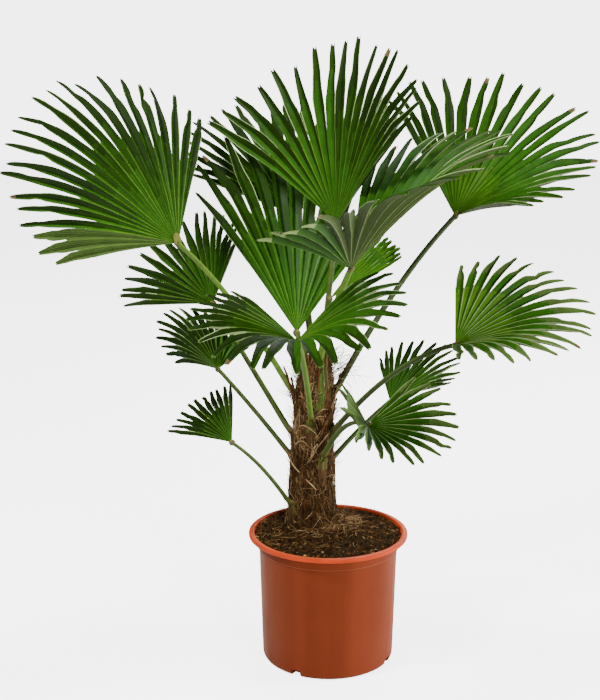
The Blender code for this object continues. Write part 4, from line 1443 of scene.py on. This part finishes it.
# %% Crumbs and chips
GOLDEN = 0.5 * (1.0 + 5.0 ** 0.5)
CRUMB_POINTS = [
    Vector(p).normalized()
    for p in (
        (-1, GOLDEN, 0), (1, GOLDEN, 0), (-1, -GOLDEN, 0), (1, -GOLDEN, 0),
        (0, -1, GOLDEN), (0, 1, GOLDEN), (0, -1, -GOLDEN), (0, 1, -GOLDEN),
        (GOLDEN, 0, -1), (GOLDEN, 0, 1), (-GOLDEN, 0, -1), (-GOLDEN, 0, 1),
    )
]
CRUMB_FACES = (
    (0, 11, 5), (0, 5, 1), (0, 1, 7), (0, 7, 10), (0, 10, 11), (1, 5, 9), (5, 11, 4),
    (11, 10, 2), (10, 7, 6), (7, 1, 8), (3, 9, 4), (3, 4, 2), (3, 2, 6), (3, 6, 8),
    (3, 8, 9), (4, 9, 5), (2, 4, 11), (6, 2, 10), (8, 6, 7), (9, 8, 1),
)


def make_crumbs(count=3600):
    """Angular crumbs and flat chips scattered evenly over the soil."""
    draw = random.Random(23)
    points, faces, chosen = [], [], []
    for _ in range(count):
        angle = draw.uniform(0.0, 2.0 * pi)
        share = 1.35 * draw.random() ** 1.35
        place = soil_place(angle, share)
        size = draw.choice((0.0008, 0.0010, 0.0013, 0.0018)) * draw.uniform(0.7, 1.3)
        chip = draw.random() < 0.25
        long_axis = Vector((draw.gauss(0, 1), draw.gauss(0, 1), draw.gauss(0, 0.35))).normalized()
        short = long_axis.orthogonal().normalized()
        third = long_axis.cross(short)
        sizes = (size * 2.4, size * 0.9, size * 0.5) if chip else (size * 1.3, size, size * 0.8)
        start = len(points)
        for p in CRUMB_POINTS:
            jitter = draw.uniform(0.72, 1.18)
            points.append(
                place + UP * (0.3 * size) + (long_axis * (p.x * sizes[0]) + short * (p.y * sizes[1])
                + third * (p.z * sizes[2])) * jitter
            )
        faces += [tuple(start + k for k in face) for face in CRUMB_FACES]
        finish = draw.choices((1, 2, 3, 4, 5), (40, 38, 13, 7, 2))[0]
        chosen += [finish] * len(CRUMB_FACES)
    piece = add_piece("soil_crumbs", points, faces, SOIL_FINISHES, chosen)
    piece.data.polygons.foreach_set("use_smooth", [False] * len(faces))
    return piece


crumbs = make_crumbs()
print("crumbs", settle(crumbs, "potting_soil"), "faces")


# %% Roots and fallen fibre on the soil
def make_soil_fibres(count=1600):
    """Thin roots and fallen fibres, thickest at the front right foot of the trunk."""
    draw = random.Random(41)
    points, faces, chosen = [], [], []
    for i in range(count):
        heaped = i % 2 == 0
        angle = draw.gauss(radians(-28.0), 0.60) if heaped else draw.uniform(0.0, 2.0 * pi)
        share = min(1.45, max(0.08, draw.gauss(1.14, 0.16) if heaped else draw.gauss(0.75, 0.40)))
        high = 0.0075 * draw.random() * exp(-(((share - 1.2) / 0.25) ** 2)) if heaped else 0.0
        place = soil_place(angle, share) + UP * (0.0010 + high)
        way = Vector((draw.gauss(0, 1), draw.gauss(0, 1), draw.gauss(0, 0.25) if heaped else 0.0)).normalized()
        length = draw.uniform(0.008, 0.030)
        curl = draw.uniform(-80.0, 80.0)
        path = [place.copy()]
        steps = 7
        for s in range(steps):
            step = length / steps
            way = (way + UP.cross(way) * (curl * step)).normalized()
            place = place + way * step
            path.append(place + UP * (0.0022 * sin(pi * (s + 1) / steps) * draw.random()))
        finish = draw.choices(range(5), (12, 30, 18, 32, 8) if heaped else (30, 42, 15, 11, 2))[0]
        add_fibre(points, faces, chosen, path, draw.uniform(0.00020, 0.00042), finish)
    return add_piece("soil_fibres", points, faces, HAIR_FINISHES, chosen)


fallen = make_soil_fibres()
print("soil fibres", settle(fallen, "potting_soil"), "faces")

# %% [markdown]
# ## The nursery pot
#
# The pot is injection moulded: a thin tapered wall, a collar near the top, a flat lip rolled
# outwards and four drainage notches in the foot. A turned outline gives all but the notches, which
# are cut with Booleans, as a mould's slides would leave them. Real edges are never sharp, so
# each corner of the outline is a small arc.

# %% Plastic finishes
def plastic_finish(name, colour, roughness):
    """Moulded plastic: faint upright bands of painted sheen, scuffs, a fine grain and a warm sheen."""
    made, tree, shader = new_finish(name, roughness, 0.05)
    shader.inputs["Specular Tint"].default_value = (1.0, 0.62, 0.36, 1.0)
    shader.inputs["Sheen Weight"].default_value = 0.25
    shader.inputs["Sheen Roughness"].default_value = 0.4
    shader.inputs["Sheen Tint"].default_value = (1.0, 0.42, 0.16, 1.0)
    spot = add_node(tree, "ShaderNodeTexCoord")
    # Painted sheen: faint upright bands, lighter and darker round the wall.
    upright = add_node(tree, "ShaderNodeMapping", {"Vector": spot.outputs["Object"]}, {"Scale": (1.0, 1.0, 0.03)})
    wide = add_node(tree, "ShaderNodeTexNoise", {"Vector": upright.outputs["Vector"]}, {"Scale": 26.0, "Detail": 2.0})
    painted_sheen_band = add_node(
        tree, "ShaderNodeMapRange", {"Value": wide.outputs["Fac"]},
        {"From Min": 0.3, "From Max": 0.7, "To Min": 0.88, "To Max": 1.13},
    )
    with_painted_sheen = add_node(tree, "ShaderNodeHueSaturation", {"Value": painted_sheen_band.outputs["Result"]}, {"Color": rgba(colour)})
    toned = use_group(tree, patches, {"Patch Scale": 9.0, "Amount": 0.07}, {"Colour": with_painted_sheen.outputs["Color"]})
    tree.links.new(toned.outputs["Colour"], shader.inputs["Base Color"])
    stretch = add_node(tree, "ShaderNodeMapping", {"Vector": spot.outputs["Object"]}, {"Scale": (1.0, 1.0, 0.15)})
    scuff = add_node(tree, "ShaderNodeTexNoise", {"Vector": stretch.outputs["Vector"]}, {"Scale": 55.0, "Detail": 5.0})
    worn = add_node(
        tree, "ShaderNodeMapRange", {"Value": scuff.outputs["Fac"]},
        {"From Min": 0.35, "From Max": 0.70, "To Min": roughness - 0.06, "To Max": roughness + 0.10},
    )
    tree.links.new(worn.outputs["Result"], shader.inputs["Roughness"])
    grain = add_node(tree, "ShaderNodeTexNoise", {"Vector": spot.outputs["Object"]}, {"Scale": 1400.0, "Detail": 2.0})
    add_bump(tree, shader, grain.outputs["Fac"], 0.12, 0.0002)
    return made


POT_FINISHES = [
    plastic_finish("pot_plastic", (0.132, 0.0235, 0.009), 0.42),
    # The lip is the same plastic, painted brighter as if lit from above.
    plastic_finish("pot_lip_painted_light", (0.380, 0.038, 0.010), 0.40),
]
print("plastic finishes", len(POT_FINISHES))

# %% The pot's outline
RIM_RADIUS = 0.130
MOUTH_RADIUS = 0.1205
POT_FLOOR = 0.0035
NOTCH_WIDTH = 0.0175
NOTCH_HEIGHT = 0.0120
NOTCH_DEPTH = 0.0170


def rounded_outline(corners):
    """Replace each corner, given as radius, height and rounding, by a small arc."""
    found = []
    for i, (x, z, soft) in enumerate(corners):
        here = Vector((x, z, 0.0))
        if soft <= 0.0 or i in (0, len(corners) - 1):
            found.append(here)
            continue
        before = Vector((*corners[i - 1][:2], 0.0))
        after = Vector((*corners[i + 1][:2], 0.0))
        back, ahead = (before - here), (after - here)
        soft = min(soft, 0.48 * back.length, 0.48 * ahead.length)
        start, end = here + back.normalized() * soft, here + ahead.normalized() * soft
        for k in range(7):
            t = k / 6
            found.append(start * (1 - t) ** 2 + here * (2 * t * (1 - t)) + end * t * t)
    return found


top = POT_HEIGHT
low = top - COLLAR_DROP
step = top - 0.0235
under = top - RIM_DROP
POT_CORNERS = (
    (0.0, 0.0, 0.0),
    (FOOT_RADIUS, 0.0, 0.0100),
    (NECK_RADIUS, step - 0.0022, 0.0010),
    (COLLAR_RADIUS + 0.0010, step, 0.0012),
    (COLLAR_RADIUS + 0.0014, under - 0.0003, 0.0018),
    (RIM_RADIUS - 0.0006, under, 0.0014),
    (RIM_RADIUS, top - 0.0002, 0.0030),
    (MOUTH_RADIUS, top, 0.0024),
    (MOUTH_RADIUS - 0.0008, under + 0.0018, 0.0010),
    (COLLAR_RADIUS - POT_WALL + 0.0004, under - 0.0001, 0.0010),
    (COLLAR_RADIUS - POT_WALL, low + 0.0020, 0.0008),
    (NECK_RADIUS - POT_WALL, low - 0.0026, 0.0008),
    (FOOT_RADIUS - POT_WALL, POT_FLOOR, 0.0080),
    (0.0, POT_FLOOR, 0.0),
)
outline = rounded_outline(POT_CORNERS)
print("outline points", len(outline))


# %% Turn the pot and cut its notches
def turn_outline(outline, count):
    """A closed turned body. Its first and last places are on the axis."""
    points = [Vector((0.0, 0.0, outline[0].y))]
    faces = []
    ring_places = outline[1:-1]
    for place in ring_places:
        for i in range(count):
            angle = 2.0 * pi * i / count
            points.append(Vector((place.x * cos(angle), place.x * sin(angle), place.y)))
    points.append(Vector((0.0, 0.0, outline[-1].y)))
    for i in range(count):
        faces.append((0, 1 + (i + 1) % count, 1 + i))
    for level in range(len(ring_places) - 1):
        for i in range(count):
            j = (i + 1) % count
            low, high = 1 + level * count, 1 + (level + 1) * count
            faces.append((low + i, low + j, high + j, high + i))
    last = 1 + (len(ring_places) - 1) * count
    for i in range(count):
        faces.append((last + i, last + (i + 1) % count, len(points) - 1))
    return points, faces


def add_block(name, reach, heights, width, angle, draft=0.0):
    """A block along one radius of the pot, narrower at its top by the draft."""
    points = []
    for height, half in ((heights[0], 0.5 * width), (heights[1], 0.5 * width - draft)):
        for along, across in ((reach[0], -half), (reach[1], -half), (reach[1], half), (reach[0], half)):
            points.append(Vector((
                along * cos(angle) - across * sin(angle), along * sin(angle) + across * cos(angle), height,
            )))
    faces = [(3, 2, 1, 0), (4, 5, 6, 7), (0, 1, 5, 4), (1, 2, 6, 5), (2, 3, 7, 6), (3, 0, 4, 7)]
    return add_piece(name, points, faces, POT_FINISHES[:1])


def combine(target, tool, operation):
    """Apply one Boolean and drop the tool."""
    change = target.modifiers.new("change", "BOOLEAN")
    change.operation = operation
    change.solver = "EXACT"
    change.object = tool
    seen = target.evaluated_get(bpy.context.evaluated_depsgraph_get())
    mesh = bpy.data.meshes.new_from_object(seen)
    target.modifiers.remove(change)
    target.data = mesh
    bpy.data.objects.remove(tool, do_unlink=True)


def make_pot():
    """The turned pot with painted light on its lip and four lined notches."""
    points, faces = turn_outline(outline, 168)
    pot = add_piece("nursery_pot", points, faces, POT_FINISHES)
    inner = FOOT_RADIUS - NOTCH_DEPTH
    for degrees_round in (-120.0, -26.0, 60.0, 154.0):
        angle = radians(degrees_round)
        for outer, bottom in ((0.1029, 0.0028), (0.1050, 0.0068)):
            lining = add_block("lining", (inner - 0.002, outer), (bottom, NOTCH_HEIGHT + 0.0019), NOTCH_WIDTH + 0.0036, angle)
            combine(pot, lining, "UNION")
        notch = add_block("notch", (inner, 0.125), (-0.010, NOTCH_HEIGHT), NOTCH_WIDTH + 0.0030, angle, 0.0022)
        combine(pot, notch, "DIFFERENCE")
    mesh = pot.data
    for face in mesh.polygons:
        face.use_smooth = True
        # Faces of the lip take the painted light.
        face.material_index = 1 if face.center.z > under - 0.0004 else 0
    mesh.set_sharp_from_angle(angle=radians(34.0))
    return pot


pot = make_pot()
print("pot", settle(pot, "pot_plastic", "pot"), "faces")

# %% [markdown]
# ## The floor
#
# A plain pale floor catches the soft shadow that tells where the pot stands. It isn't part of the
# object, so it is marked as stage.

# %% Floor
floor_finish, tree, shader = new_finish("pale_floor", 0.8)
floor_tone = use_group(tree, patches, {"Colour": (0.86, 0.86, 0.86, 1.0), "Patch Scale": 1.5, "Amount": 0.01})
tree.links.new(floor_tone.outputs["Colour"], shader.inputs["Base Color"])
seen = tree.nodes.new("ShaderNodeLightPath")
lit = add_node(tree, "ShaderNodeMath", {0: seen.outputs["Is Camera Ray"]}, {1: BACKDROP - 1.0}, operation="MULTIPLY")
shader.inputs["Emission Color"].default_value = (1.0, 1.0, 1.0, 1.0)
tree.links.new(lit.outputs[0], shader.inputs["Emission Strength"])
far = 9.0
corners = [Vector((-far, -far, -0.0004)), Vector((far, -far, -0.0004)), Vector((far, far, -0.0004)), Vector((-far, far, -0.0004))]
floor = add_piece("pale_floor", corners, [(0, 1, 2, 3)], [floor_finish])
floor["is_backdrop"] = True
print("floor", 2 * far, "m wide")

# %% [markdown]
# ## The size of the dressed model
#
# The box round every shown piece but the floor is measured and printed. The dressed
# model has to stay inside the solids' box, apart from a small margin.

# %% Measure and finish
low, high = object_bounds()
print("visual box", [round(v, 3) for v in (*low, *high)])
